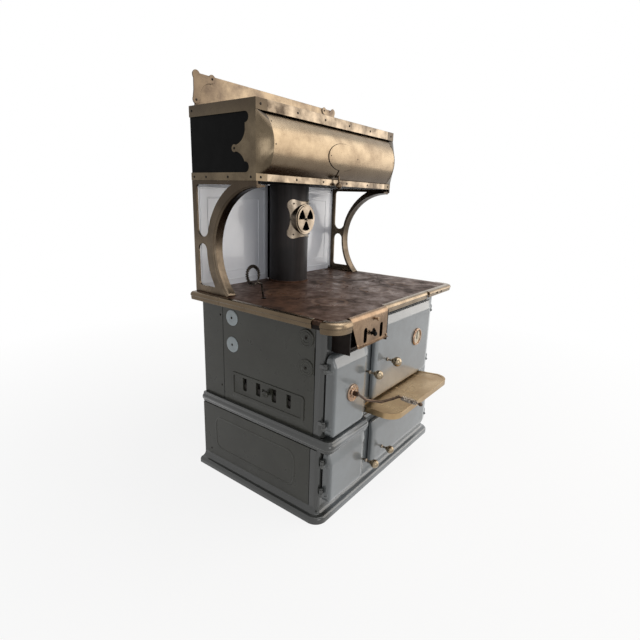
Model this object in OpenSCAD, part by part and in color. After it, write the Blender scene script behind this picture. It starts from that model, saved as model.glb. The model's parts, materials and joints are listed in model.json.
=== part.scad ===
// Wood cookstove with six lids, an oven, a warming closet and a flue, in mm.
// Origin on the floor under the middle; +Z is up and the front faces -Y.

/* [Overall] */
// Depth from the back to the tip of the crank
total_depth = 888; // [870:1:930]
// Height of the cooktop's upper face
top_z = 800; // [790:1:830]
// Width of the cooktop
top_w = 1020; // [1010:1:1060]

/* [Body] */
// Cooktop's overhang past each side of the lower body
lower_inset = 53; // [45:1:60]
// Cooktop's overhang past each side of the upper body
upper_inset = 68; // [62:1:75]
// Depth of the body
body_depth = 650; // [640:1:670]
// Gap between the body's back and the closet's
rear_gap = 3; // [2:0.5:6]
// Thickness of the cast front frames
front_t = 8; // [6:0.5:10]
// Thickness of the cast side panels
side_t = 6; // [5:0.5:8]
// Thickness of the back plate
back_t = 5; // [3:0.5:6]
// Depth of the front columns
column_d = 40; // [34:1:48]
// Edge radius of the front columns
column_r = 18; // [12:1:22]

/* [Plinth and belt] */
// Height of the base moulding
plinth_h = 50; // [48:1:60]
// Reach of the base moulding beyond the body
plinth_flare = 30; // [24:1:36]
// Height of the belt moulding's lower edge
belt_z = 293; // [288:1:298]
// Height of the belt moulding
belt_h = 48; // [42:1:52]
// Bulge of the belt moulding
belt_bulge = 9; // [6:0.5:12]
// Reach of the belt's ledge under the fire door
bay_reach = 43; // [38:1:46]

/* [Doors] */
// Thickness of the fire door
fire_door_d = 40; // [34:1:44]
// Width of the fire door
fire_door_w = 243; // [230:1:248]
// Height of the fire door's lower edge
fire_door_z = 349; // [346:1:356]
// Height of the fire door
fire_door_h = 312; // [296:1:316]
// Thickness of the ash door
ash_door_d = 37; // [32:1:42]
// Width of the ash door
ash_door_w = 262; // [250:1:266]
// Height of the ash door's lower edge
ash_door_z = 76; // [70:1:84]
// Height of the ash door
ash_door_h = 212; // [198:1:214]
// Thickness of the oven door
oven_door_d = 21; // [18:1:26]
// Width of the oven door
oven_door_w = 520; // [500:1:526]
// Height of the oven door's lower edge
oven_door_z = 392; // [391:1:396]
// Height of the oven door
oven_door_h = 343; // [332:1:347]
// Thickness of the lower door
lower_door_d = 23; // [18:1:28]
// Width of the lower door
lower_door_w = 545; // [530:1:552]
// Height of the lower door
lower_door_h = 208; // [196:1:212]
// Wall of the cast doors
door_wall = 5; // [4:0.5:7]
// Radius of the hinge pins
pin_r = 4; // [3:0.25:5]
// Clearance between a pin and its bore
fit = 0.05; // [0.02:0.01:0.08]

/* [Oven shelf] */
// Width of the nickel oven shelf at the wall
shelf_w = 508; // [480:1:520]
// Reach of the shelf
shelf_d = 162; // [140:1:170]
// Height of the shelf's upper face
shelf_z = 386; // [380:1:387]
// Height of the shelf's rim
shelf_h = 24; // [18:1:28]

/* [Cooktop] */
// Thickness of the cooktop plate
top_t = 14; // [12:1:18]
// Width of the nickel trim
trim_w = 24; // [20:1:28]
// Height of the nickel trim
trim_h = 33; // [28:1:36]
// Radius of a lid
lid_r = 101; // [96:0.5:104]
// Thickness of a lid
lid_t = 7; // [5:0.5:8]
// Gap round a lid
lid_gap = 0.8; // [0.5:0.1:1.2]
// Pitch of the front and rear lids
lid_pitch_y = 245; // [236:1:250]

/* [Top flap] */
// Width of the flap
flap_w = 246; // [238:1:252]
// Thickness of the flap
flap_t = 6; // [5:0.5:7]
// Travel of the flap's draft slide
flap_travel = 22; // [18:1:24]

/* [Flue] */
// Outer radius of the flue pipe
pipe_r = 90; // [85:1:94]
// Wall of the flue pipe
pipe_t = 2.5; // [2:0.5:4]
// Length of the pipe's socket
pipe_spigot = 45; // [30:1:50]
// Radius of the draft spinner
spinner_r = 60; // [54:1:62]

/* [Closet] */
// Cooktop's overhang past each side of the closet
closet_inset = 43; // [40:1:47]
// Height of the closet's underside
closet_z = 1237; // [1230:1:1250]
// Height of the closet
closet_h = 266; // [262:1:276]
// Depth of the closet's shell
closet_d = 349; // [340:1:356]
// Radius of the roll door's barrel
barrel_r = 133; // [131:0.5:134]
// Width of the cheek at each end of the roll door
cheek_w = 43; // [40:1:50]
// Wall of the closet's sheets
sheet_t = 3; // [2:0.5:4]
// Thickness of the nickel castings
casting_t = 4; // [3:0.5:5]
// Height of the crest
crest_h = 122; // [110:1:130]

/* [Brackets] */
// Thickness of a bracket
bracket_t = 8; // [6:0.5:10]
// Radius of the brackets' front arc
arc_r = 243; // [238:1:246]
// Width of the brackets' rolled flange
flange_w = 48; // [40:1:52]

/* [Hidden] */

// Common values
over = 1;
cut = 2 * over;
seat = 0.3;
$fn = 64;
coarse = 24;

// Planes of the body
back_y = total_depth / 2;
rear_y = back_y - rear_gap;
front_y = rear_y - body_depth;
seam_y = front_y + column_d;
top_x = top_w / 2;
lower_x = top_x - lower_inset;
upper_x = top_x - upper_inset;
floor_drop = 10;
floor_z = plinth_h - floor_drop;
floor_t = 6;
belt_z1 = belt_z + belt_h;
under_z = top_z - top_t;

// Plinth profile
plinth_wall = 14;
foot_h = 14;
ogee_r = 12;

// Belt and bay
belt_wall = 14;
bay_left_x = -lower_x;
bay_w = 270;
bay_right_x = bay_left_x + bay_w;
bay_r = 22;
belt_r = 26;
belt_in = 3;
belt_x = lower_x - belt_in;

// Doors, each hung on the column beside it
door_gap = 5;
hinge_out = 4;
hinge_gap = 9;
left_pin_out = 10;
right_pin_out = 9;
oven_door_in = 54;
lower_door_in = 24;
fire_hinge_x = -upper_x - hinge_out;
left_hinge_y = front_y - left_pin_out;
fire_door_x = fire_hinge_x + hinge_gap;
ash_hinge_x = fire_hinge_x;
ash_door_x = ash_hinge_x + hinge_gap;
oven_door_x = upper_x - oven_door_in;
oven_hinge_x = oven_door_x + hinge_gap;
lower_door_x = lower_x - lower_door_in;
lower_door_z = ash_door_z;
lower_hinge_x = lower_door_x + hinge_gap;
right_hinge_y = front_y - right_pin_out;
lug_r = 8;
lug_h = 13;
lug_gap = 1;
strap_t = 4;
hinge_inset = 46;
pin_head_r = 6;
pin_head_h = 5;

// Openings in the fronts
frame_lip = 14;
feed_z = fire_door_z + fire_door_h + frame_lip;
feed_top_z = under_z;
oven_in = 20;
oven_w = 480;
oven_h = 303;
oven_x1 = oven_door_x - oven_in;
oven_x0 = oven_x1 - oven_w;
oven_z0 = oven_door_z + oven_in;
oven_z1 = oven_z0 + oven_h;

// Lids
lid_x_shares = [-0.2402, 0.0980, 0.3284];
lid_xs = top_w * lid_x_shares;
lid_in = 130;
lid_front_y = front_y + lid_in;
lid_ledge = 7;
lid_play = 2;
lid_rib = 6;
lid_ledge_t = 6;
centre_w = 150;
notch_w = 26;
notch_d = 9;

// Mouth and flap
mouth_t = 6;
flap_in = 46;
flap_out = 75;
flap_pin_drop = 110;
flap_pin_in = 4;
flap_drop = 116;
flap_x = -upper_x + flap_in;
flap_y = front_y - flap_out;
flap_pin_z = top_z - flap_pin_drop;
flap_pin_y = flap_y + flap_pin_in;
flap_z0 = top_z - flap_drop;
nose_r = 17;
kick = 10;
flap_slot_w = 22;
flap_slot_h = 57;
flap_slot_drop = 80;
flap_slot_z = top_z - flap_slot_drop;
flap_slot_in = 111;
flap_mid_in = 148;
flap_mid_x = flap_x + flap_mid_in;
slot_margin = 4;
thumb_rise = 50;
thumb_r = 7;
thumb_l = 15;
slide_knob_r = 9;
slide_knob_l = 16;
stem_out = 4;
knuckle_wall = 3;
flap_slant = 40;
knuckle_l = 6;

// Oven box
oven_wall = 4;
oven_depth = 470;
rack_rise = 128;
rack_z = oven_z0 + rack_rise;
ledge_in = 30;
ledge_t = 4;
rack_gap = 2;
rack_in = 36;
rack_short = 76;
ledge_w = 9;
wire_r = 3;

// Firebox
fire_in = 18;
fire_w = 264;
fire_front_in = 24;
fire_l = 467;
fire_rise = 87;
fire_x0 = -upper_x + fire_in;
fire_x1 = fire_x0 + fire_w;
fire_y0 = front_y + fire_front_in;
fire_y1 = fire_y0 + fire_l;
fire_z0 = fire_door_z + fire_rise;
lining_drop = 2;
frame_ext = 8;
grate_play = 3;
shaft_out = 6;
finger_in = 15;
rib_in = 10;
lining_t = 18;
grate_t = 14;
bar_pitch = 86;
bar_r = 8;
bar_half = 38;
bar_count = 17;
finger_t = 9;

// Flue
pipe_gap = 1;
socket_step = 1;
pipe_y = rear_y - pipe_r - pipe_gap;
pipe_top_z = closet_z + closet_h + pipe_spigot;
collar_w = 6;
collar_h = 8;
plate_rise_z = 290;
plate_z = top_z + plate_rise_z;
plate_t = 3;
boss_r = 66;
bore_in = 8;
spinner_windows = 3;
open_share = 0.5;
spinner_knob_r = 6;
spinner_knob_l = 8;
boss_out = 10;
boss_wall = 3.8;
boss_gap = 0.5;
spinner_t = 4;

// Closet
closet_x = top_x - closet_inset;
closet_y0 = back_y - closet_d;
closet_z1 = closet_z + closet_h;
barrel_x = closet_x - cheek_w;
barrel_rise = 123;
barrel_in = 87;
barrel_z = closet_z + barrel_rise;
barrel_y = closet_y0 + barrel_in;
chord_h = 97.5;
chord_top = 113;
cheek_lap = 8;
cheek_root = 2;
cheek_lead = 1;
rail_gap = 0.2;
rail_t = 3;
rail_out = 5;
top_rail_h = 37;
bottom_rail_h = 25;
pivot_r = 5;
door_arm_t = 3;
plate_rise = 3;

// Brackets
bracket_in = 40;
arc_lead = 6;
arc_rise = 177;
bracket_x = top_x - bracket_in;
arc_y = closet_y0 - arc_lead;
arc_z = top_z + arc_rise;
rear_bar = 25;
web_h = 28;
front_bar = 35;
corner_r = 14;

// Side register
register_in = 280;
register_rise = 88;
register_y = front_y + register_in;
register_w = 390;
register_z = belt_z1 + register_rise;
register_h = 102;
register_band = 12;
proud = 3;
side_slot_rise = 13;
side_slot_z = register_z + side_slot_rise;
side_slot_h = 62;
side_slot_w = 22;
side_travel = 24;
side_knob_r = 14;
side_knob_l = 16;
slide_t = 3;
cover_r = 33;
cover_t = 5;

// Colours
enamel = "lightslategray";
nickel = [0.80, 0.74, 0.62];
dull = [0.55, 0.50, 0.42];
copper = [0.72, 0.48, 0.36];
iron = [0.16, 0.12, 0.10];
rough = [0.30, 0.28, 0.27];
black = [0.08, 0.08, 0.08];

// Angle helpers
function arc(c, r, a0, a1, n) =
  [for (i = [0 : n]) c + r * [cos(a0 + (a1 - a0) * i / n), sin(a0 + (a1 - a0) * i / n)]];

function unit(v) = v / norm(v);

// Rectangle with round corners, centred
module round_rect(w, h, r) {
  square([w, h - 2 * r], center = true);
  square([w - 2 * r, h], center = true);
  for (x = [-1, 1], y = [-1, 1])
    translate([x * (w / 2 - r), y * (h / 2 - r)]) circle(r);
}

// Upright slot with round ends, centred
module slot(w, h) {
  square([w, h - w], center = true);
  for (s = [-1, 1]) translate([0, s * (h - w) / 2]) circle(w / 2);
}

module up(z) { translate([0, 0, z]) children(); }

module at_pipe(z) { translate([0, pipe_y, z]) children(); }

// Turns a shape's height towards -Y
module forward() { rotate([90, 0, 0]) children(); }

// Extrudes a shape of X and Z towards -Y
module facing(y, d) {
  translate([0, y, 0]) forward() linear_extrude(d) children();
}

// Extrudes a shape of Y and Z towards +X
module sideways(x, d) {
  translate([x, 0, 0]) rotate([90, 0, 90]) linear_extrude(d) children();
}

// Straight bar between two points
module bar(a, b, r) {
  d = b - a;
  translate(a) rotate([0, acos(d[2] / norm(d)), atan2(d[1], d[0])])
    cylinder(h = norm(d), r = r, $fn = coarse);
}

// Closed tube along points; refs give a side direction at each
module tube(pts, refs, r, sides) {
  n = len(pts);
  tans = [for (i = [0 : n - 1]) unit(pts[min(i + 1, n - 1)] - pts[max(i - 1, 0)])];
  us = [for (i = [0 : n - 1]) unit(refs[i] - (refs[i] * tans[i]) * tans[i])];
  vs = [for (i = [0 : n - 1]) cross(tans[i], us[i])];
  ring = [for (i = [0 : n - 1], k = [0 : sides - 1])
    pts[i] + r * (cos(360 * k / sides) * us[i] + sin(360 * k / sides) * vs[i])];
  walls = [for (i = [0 : n - 2], k = [0 : sides - 1]) let (
      k2 = (k + 1) % sides, a = i * sides + k, b = i * sides + k2)
    each [[a, b, b + sides], [a, b + sides, a + sides]]];
  caps = [for (k = [1 : sides - 2])
    each [[0, k + 1, k], (n - 1) * sides * [1, 1, 1] + [0, k, k + 1]]];
  polyhedron([for (p = ring) p], [for (f = concat(walls, caps)) [f[0], f[2], f[1]]]);
}

// Straight run of a moulding from a to b
module run(a, b) {
  d = b - a;
  translate([a[0], a[1], 0]) rotate([0, 0, atan2(d[1], d[0])]) rotate([90, 0, 90])
    linear_extrude(norm(d)) mirror([1, 0]) children();
}

// Quarter turn of a moulding round an outer corner
module turn(c, r, a) {
  translate([c[0], c[1], 0]) rotate([0, 0, a])
    rotate_extrude(angle = 90) translate([r, 0]) children();
}

// Raised frame on the side s
module raised_frame(s, x, y, z, w, h, band, rise) {
  translate([s * x, y, z]) rotate([90, 0, 90]) mirror([0, 0, s < 0 ? 1 : 0])
    linear_extrude(rise) difference() {
      round_rect(w, h, band);
      round_rect(w - 2 * band, h - 2 * band, band / 2);
    }
}

// Plan of a front casting with rounded columns
module front_plan(half, depth_y, r) {
  translate([-half, front_y + r]) square([2 * half, depth_y - front_y - r]);
  translate([-half + r, front_y]) square([2 * half - 2 * r, r + over]);
  for (s = [-1, 1]) translate([s * (half - r), front_y + r]) circle(r);
}

module front_shell(half, z0, z1) {
  up(z0) linear_extrude(z1 - z0) difference() {
    front_plan(half, seam_y, column_r);
    translate([0, front_t]) front_plan(half - front_t, seam_y + over, column_r - front_t);
  }
}

// Hinge lugs on a column
module body_lugs(x, y, zs, s) {
  for (z = zs) up(z) difference() {
    union() {
      translate([x, y, 0]) cylinder(h = lug_h, r = lug_r);
      translate([min(x, x - s * lug_r), y, 0]) cube([lug_r, front_y - y + over, lug_h]);
      translate([min(x, x - s * 2 * lug_r), door_y + lug_gap, 0])
        cube([2 * lug_r, column_r + door_back - lug_gap, lug_h]);
    }
    translate([x, y, -over]) cylinder(h = lug_h + cut, r = pin_r + fit);
  }
}

// Base: ogee moulding round a floor plate
module plinth_profile() {
  r2 = plinth_flare - ogee_r;
  polygon(concat(
    [[-plinth_wall, 0], [plinth_flare, 0]],
    arc([plinth_flare - ogee_r, foot_h], ogee_r, 0, 90, 6),
    arc([r2, foot_h + ogee_r + r2], r2, 270, 180, 8),
    [[0, plinth_h], [-plinth_wall, plinth_h]]));
}

module base_plinth() {
  x = lower_x;
  r = column_r;
  color(enamel) {
    run([-x, rear_y], [-x, front_y + r]) plinth_profile();
    turn([-x + r, front_y + r], r, 180) plinth_profile();
    run([-x + r, front_y], [x - r, front_y]) plinth_profile();
    turn([x - r, front_y + r], r, 270) plinth_profile();
    run([x, front_y + r], [x, rear_y]) plinth_profile();
    translate([-x, rear_y - plinth_wall, 0]) cube([2 * x, plinth_wall, plinth_h]);
    translate([-x + over, front_y + over, floor_z - floor_t])
      cube([2 * (x - over), body_depth - cut, floor_t]);
    // Runners under the ash pan
    for (px = [pan_x, pan_x + pan_w - floor_t]) translate([px, pan_y, floor_z - over])
      cube([floor_t, pan_d, pan_z - floor_z + over]);
  }
}

// Side panels
module lower_side(s) {
  d = rear_y - back_t - seam_y - seat;
  translate([s > 0 ? lower_x - side_t : -lower_x, seam_y + seat, plinth_h])
    cube([side_t, d, belt_z - plinth_h]);
  raised_frame(s, lower_x - over, seam_y + d / 2, (plinth_h + belt_z) / 2, d * 0.72,
    (belt_z - plinth_h) * 0.66, register_band, proud + over);
}

module lower_side_left() { color(enamel) lower_side(-1); }

module lower_side_right() { color(enamel) lower_side(1); }

strip_in = 485;
strip_y = seam_y + strip_in;
cover_rear_in = 57;
cover_front_in = 41;
cover_drops = [90, 203];
cover_ys = [strip_y - cover_rear_in, seam_y + cover_front_in];
cover_zs = [top_z - cover_drops[0], top_z - cover_drops[1]];

module side_openings() {
  dy = register_w / 2 * 0.61;
  for (s = [-1, 1]) translate([register_y + s * dy, side_slot_z])
    round_rect(side_slot_w, side_slot_h, side_slot_w / 4);
  for (s = [-1, 1]) translate([register_y, side_slot_z]) difference() {
    translate([s * dy * 0.36, 0]) round_rect(side_slot_w * 1.1, side_slot_h, side_slot_w / 4);
    circle(side_slot_h * 0.42);
  }
}

module upper_side(s) {
  d = strip_y - seam_y - 2 * seat;
  translate([s > 0 ? upper_x - side_t : -upper_x, seam_y + seat, belt_z1])
    cube([side_t, d, under_z - belt_z1]);
}

module upper_side_left() {
  rib_h = 104;
  color(enamel) difference() {
    union() {
      upper_side(-1);
      raised_frame(-1, upper_x - over, register_y, register_z, register_w, register_h,
        register_band, proud + over);
      translate([-upper_x - proud, seam_y + proud, cover_zs[1] - rib_h / 5])
        cube([proud + over, proud, rib_h]);
    }
    sideways(-upper_x - over, side_t + cut) side_openings();
    sideways(-upper_x - over, side_t + cut) translate([register_y, side_slot_z])
      round_rect(side_travel + knob_stem_r * 4, knob_stem_r * 4, knob_stem_r);
    for (y = cover_ys, z = cover_zs) translate([-upper_x - over, y, z]) rotate([0, 90, 0])
      cylinder(h = side_t + cut, r = cover_r * 0.7);
  }
}

module upper_side_right() {
  color(enamel) {
    upper_side(1);
    raised_frame(1, upper_x - over, register_y, (belt_z1 + under_z) / 2,
      register_w, (under_z - belt_z1) * 0.8, register_band, proud + over);
  }
}

module cover_plates() {
  color("slategray") for (y = cover_ys, z = cover_zs)
    translate([-upper_x, y, z]) rotate([0, -90, 0]) rotate_extrude()
      polygon([[0, 0], [cover_r, 0], [cover_r, cover_t * 0.5], [cover_r - cover_t * 0.5, cover_t],
        [cover_r * 0.62, cover_t], [cover_r * 0.56, cover_t * 0.7], [0, cover_t * 0.7]]);
}

module back_plate() {
  wall_x = belt_x - belt_wall - seat;
  color("dimgray") {
    translate([-lower_x, rear_y - back_t, plinth_h]) cube([2 * lower_x, back_t, belt_z - plinth_h]);
    translate([-wall_x, rear_y - back_t, belt_z - over])
      cube([2 * wall_x, back_t, belt_h + cut]);
    translate([-upper_x, rear_y - back_t, belt_z1])
      cube([2 * upper_x, back_t, under_z - belt_z1]);
    for (x = [-upper_x, upper_x - side_t]) translate([x, strip_y, belt_z1])
      cube([side_t, rear_y - strip_y, under_z - belt_z1]);
  }
}

// Belt moulding, stepping out under the fire door
module belt_profile() {
  r = belt_h * 0.36;
  polygon(concat(
    [[-belt_wall, 0], [0, 0], [0, belt_h * 0.06], [belt_bulge * 0.3, belt_h * 0.1]],
    arc([belt_bulge - r, belt_h / 2], r, -54, 54, 10),
    [[belt_bulge * 0.3, belt_h * 0.9], [0, belt_h * 0.94], [0, belt_h], [-belt_wall, belt_h]]));
}

module belt_moulding() {
  x = belt_x;
  yb = front_y - bay_reach;
  xr = bay_right_x;
  color(enamel) up(belt_z) {
    run([-x, rear_y], [-x, yb + belt_r]) belt_profile();
    turn([-x + belt_r, yb + belt_r], belt_r, 180) belt_profile();
    run([-x + belt_r, yb], [xr - bay_r, yb]) belt_profile();
    turn([xr - bay_r, yb + bay_r], bay_r, 270) belt_profile();
    run([xr, yb + bay_r], [xr, front_y + belt_wall]) belt_profile();
    run([xr - belt_wall, front_y], [x - belt_r, front_y]) belt_profile();
    turn([x - belt_r, front_y + belt_r], belt_r, 270) belt_profile();
    run([x, front_y + belt_r], [x, rear_y]) belt_profile();
    translate([-x + over, yb + belt_r, belt_h * 0.1])
      cube([xr + x - cut, bay_reach - belt_r + belt_wall, belt_h * 0.8]);
    translate([-x + belt_r, yb + over, belt_h * 0.1])
      cube([xr + x - belt_r - bay_r, belt_r + over, belt_h * 0.8]);
  }
}

// Front castings
module lower_front() {
  color(enamel) {
    difference() {
      front_shell(lower_x, plinth_h, belt_z);
      translate([ash_door_x + frame_lip, front_y - over, ash_door_z + frame_lip])
        cube([ash_knob_x + 2 * spindle_r - ash_door_x - frame_lip, front_t + cut,
          ash_door_h - 2 * frame_lip]);
      translate([lower_door_x - lower_door_w + frame_lip, front_y - over,
        lower_door_z + frame_lip])
        cube([lower_door_w - 2 * frame_lip, front_t + cut, lower_door_h - 2 * frame_lip]);
    }
    body_lugs(ash_hinge_x, left_hinge_y, lug_zs(ash_door_z, ash_door_h), -1);
    body_lugs(lower_hinge_x, right_hinge_y, lug_zs(lower_door_z, lower_door_h), 1);
  }
}

function lug_zs(z, h) = [z + hinge_inset, z + h - hinge_inset];

module upper_front() {
  color(enamel) {
    difference() {
      front_shell(upper_x, belt_z1, under_z);
      translate([fire_door_x + frame_lip, front_y - over, fire_door_z + 2 * frame_lip])
        cube([fire_knob_x + 2 * spindle_r - fire_door_x - frame_lip, front_t + cut,
          fire_door_h - 3 * frame_lip]);
      translate([flap_x, front_y - over, feed_z])
        cube([flap_w, front_t + cut, feed_top_z - feed_z + over]);
      translate([oven_x0, front_y - over, oven_z0])
        cube([oven_w, front_t + cut, oven_h]);
    }
    body_lugs(fire_hinge_x, left_hinge_y, lug_zs(fire_door_z, fire_door_h), -1);
    body_lugs(oven_hinge_x, right_hinge_y, lug_zs(oven_door_z, oven_door_h), 1);
  }
}

module hinge_pin(x, y, z) {
  translate([x, y, z - lug_h - lug_gap - pin_r]) {
    cylinder(h = 2 * lug_h + lug_gap + pin_r + over, r = pin_r);
    up(2 * lug_h + lug_gap + pin_r) cylinder(h = pin_head_h, r = pin_head_r);
  }
}

module hinge_pins() {
  color("silver") {
    for (z = lug_zs(fire_door_z, fire_door_h)) hinge_pin(fire_hinge_x, left_hinge_y, z);
    for (z = lug_zs(ash_door_z, ash_door_h)) hinge_pin(ash_hinge_x, left_hinge_y, z);
    for (z = lug_zs(oven_door_z, oven_door_h)) hinge_pin(oven_hinge_x, right_hinge_y, z);
    for (z = lug_zs(lower_door_z, lower_door_h)) hinge_pin(lower_hinge_x, right_hinge_y, z);
  }
}

// Cooktop
top_front_out = 65;
end_reach = 7;
edge_y = front_y - top_front_out;
top_in_x = top_x - end_reach - trim_w;
top_in_y = edge_y + trim_w;
mouth_y = flap_y + nose_r;
lid_ys = [lid_front_y, lid_front_y + lid_pitch_y];
lifter_gap = 39;
lifter_pos = [lid_xs[0] - lid_r - lifter_gap, lid_front_y + lid_pitch_y * 0.885];
notch_r = 6;

module lid_hole(x, y) {
  translate([x, y, top_z - lid_t]) cylinder(h = lid_t + over, r = lid_r + lid_gap);
  translate([x, y, top_z - top_t - over])
    cylinder(h = top_t + cut, r = lid_r - lid_ledge);
}

module centre_plan(w, gap) {
  difference() {
    square([w, lid_pitch_y], center = true);
    for (s = [-1, 1]) translate([0, s * lid_pitch_y / 2]) circle(lid_r + lid_gap + gap);
  }
}

corner_out = 8;
corner_y = mouth_y - corner_out;

module top_plan() {
  x = top_in_x;
  translate([-x, corner_y + end_r]) square([2 * x, rear_y - corner_y - end_r]);
  translate([-x + end_r, top_in_y]) square([2 * x - end_r - right_r, end_r]);
  translate([x - right_r, top_in_y + right_r]) circle(right_r);
  translate([0, top_in_y + right_r]) square([x, end_r]);
  translate([-x + end_r, corner_y + end_r]) circle(end_r);
  translate([-x + end_r, corner_y]) square([nose_x + x - end_r, end_r]);
  translate([nose_x - over, mouth_y]) square([flap_x + flap_w - nose_x + over, end_r]);
}

module main_top() {
  color(iron) {
    difference() {
      union() {
        up(under_z) linear_extrude(top_t) top_plan();
        // Bare edge between the left trims
        translate([-top_in_x - trim_w * 0.7, gap_y0 + over, top_z - trim_h * 0.95])
          cube([trim_w * 0.7 + over, gap_y1 - gap_y0 - cut, trim_h * 0.85]);
        intersection() {
          at_pipe(top_z - over) cylinder(h = collar_h + over, r = pipe_r + collar_w);
          translate([-top_w, 0, 0]) cube([2 * top_w, rear_y - sheet_t - seat, 2 * top_z]);
        }
      }
      for (x = lid_xs, y = lid_ys) lid_hole(x, y);
      for (x = lid_xs) translate([x, (lid_ys[0] + lid_ys[1]) / 2, top_z - lid_t])
        linear_extrude(lid_t + over) centre_plan(centre_w, -lid_gap);
      at_pipe(under_z - over)
        cylinder(h = top_t + cut, r = pipe_r - pipe_t);
      at_pipe(top_z) cylinder(h = collar_h + over, r = pipe_r + seat);
      translate([lifter_pos[0], lifter_pos[1], top_z - notch_d])
        cylinder(h = notch_d + over, r = notch_r);
    }
    // Feed mouth behind the flap
    up(feed_z - mouth_t) {
      translate([flap_x - mouth_t - seat, mouth_y - over, 0])
        cube([flap_w + 2 * mouth_t + 2 * seat, front_y - mouth_y + over, mouth_t]);
      for (x = [flap_x - mouth_t - seat, flap_x + flap_w + seat]) translate([x, flap_y, 0])
        cube([mouth_t, front_y - flap_y, under_z - feed_z + mouth_t + over]);
    }
    for (s = [0, 1]) translate([flap_x + s * flap_w, flap_pin_y, flap_pin_z])
      rotate([0, s > 0 ? -90 : 90, 0]) up(-seat - over)
        cylinder(h = knuckle_l + cut + (s > 0 ? 0 : flap_slant), r = pin_r);
  }
}

module top_centres() {
  my = (lid_ys[0] + lid_ys[1]) / 2;
  color(iron) for (x = lid_xs) difference() {
    translate([x, my, top_z - lid_t]) linear_extrude(lid_t)
      centre_plan(centre_w - 2 * lid_gap, lid_gap);
    translate([x - centre_w / 2 + notch_w, my, top_z - notch_d / 2])
      cube([notch_w, notch_d, notch_d + over], center = true);
  }
}

// Lid: a disc with a lifting notch in its left edge
module lid(i, j) {
  color(iron) translate([lid_xs[i], lid_ys[j], top_z - lid_t]) difference() {
    union() {
      cylinder(h = lid_t, r = lid_r);
      up(-lid_ledge_t) cylinder(h = lid_ledge_t + over, r = lid_r - lid_ledge - lid_play);
    }
    up(-lid_ledge_t - over)
      cylinder(h = lid_ledge_t + over, r = lid_r - lid_ledge - lid_play - lid_rib);
    translate([-lid_r + notch_w, 0, lid_t]) cube([notch_w, notch_d, notch_d], center = true);
  }
}

module lid_fire_front() { lid(0, 0); }
module lid_fire_rear() { lid(0, 1); }
module lid_middle_front() { lid(1, 0); }
module lid_middle_rear() { lid(1, 1); }
module lid_right_front() { lid(2, 0); }
module lid_right_rear() { lid(2, 1); }

// Nickel trim: a bullnose with a cove below
module trim_profile(w, h) {
  r = h * 0.42;
  polygon(concat(
    [[0, 0]],
    arc([w - r, -r], r, 90, 0, 8),
    arc([w + h * 0.1, -h * 0.62], h * 0.2, 120, 200, 5),
    [[w - h * 0.16, -h], [w - h * 0.34, -h], [w - h * 0.34, -top_t], [0, -top_t]]));
}

module edge_profile() { trim_profile(trim_w, trim_h); }

module end_profile() { trim_profile(trim_w + end_reach, trim_h + corner_out); }

module right_profile() { trim_profile(trim_w + end_reach, trim_h * 0.8); }

trim_seam_in = 440;
gap_in = 42;
gap_w = 41;
nose_gap = 16;
right_run = 244;
trim_seam_y = seam_y + trim_seam_in;
gap_y0 = edge_y + gap_in;
gap_y1 = gap_y0 + gap_w;
nose_x = flap_x - mouth_t - nose_gap;
end_r = 40;
right_r = 14;
right_end_x = top_in_x - right_run;

module top_trim() {
  x = top_in_x;
  cy = corner_y;
  joint = 0.5;
  color(nickel) up(top_z) {
    run([-x, rear_y], [-x, trim_seam_y + joint]) edge_profile();
    run([-x, trim_seam_y - joint], [-x, gap_y1]) edge_profile();
    run([-x, gap_y0], [-x, cy + end_r]) end_profile();
    turn([-x + end_r, cy + end_r], end_r, 180) end_profile();
    run([-x + end_r, cy], [nose_x, cy]) end_profile();
    run([flap_x + flap_w + mouth_t + 2 * joint, top_in_y], [right_end_x - joint, top_in_y])
      edge_profile();
    run([right_end_x + joint, top_in_y], [x - right_r, top_in_y]) right_profile();
    turn([x - right_r, top_in_y + right_r], right_r, 270) right_profile();
    run([x, top_in_y + right_r], [x, gap_y1]) right_profile();
    run([x, gap_y1 + joint], [x, trim_seam_y - joint]) edge_profile();
    run([x, trim_seam_y + joint], [x, rear_y]) edge_profile();
  }
}

// Flap with draft slots, hinged at its lower edge
module flap_profile() {
  y = flap_y;
  z0 = flap_slot_z - flap_slot_h / 2 - slot_margin;
  polygon(concat(
    [[y + nose_r, top_z - seat]],
    arc([y + nose_r, top_z - seat - nose_r], nose_r, 90, 180, 8),
    [[y, z0]],
    [[y - kick * 0.5, (z0 + flap_z0) / 2], [y - kick, flap_z0]],
    [[y - kick + flap_t, flap_z0], [y + flap_t - kick * 0.4, (z0 + flap_z0) / 2],
      [y + flap_t, z0 + slide_t]],
    arc([y + nose_r, top_z - seat - nose_r], nose_r - flap_t, 180, 90, 6)));
}

module flap_openings() {
  for (s = [-1, 1]) translate([flap_mid_x + s * flap_slot_in / 2, flap_slot_z])
    slot(flap_slot_w, flap_slot_h);
  for (s = [-1, 1]) translate([flap_mid_x + s * flap_travel / 2, flap_slot_z])
    circle(knob_stem_r * 2);
  translate([flap_mid_x, flap_slot_z + knob_stem_r * 1.6]) circle(knob_stem_r * 2.6);
  translate([flap_mid_x, flap_slot_z]) square([flap_travel, knob_stem_r * 3], center = true);
}

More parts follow.
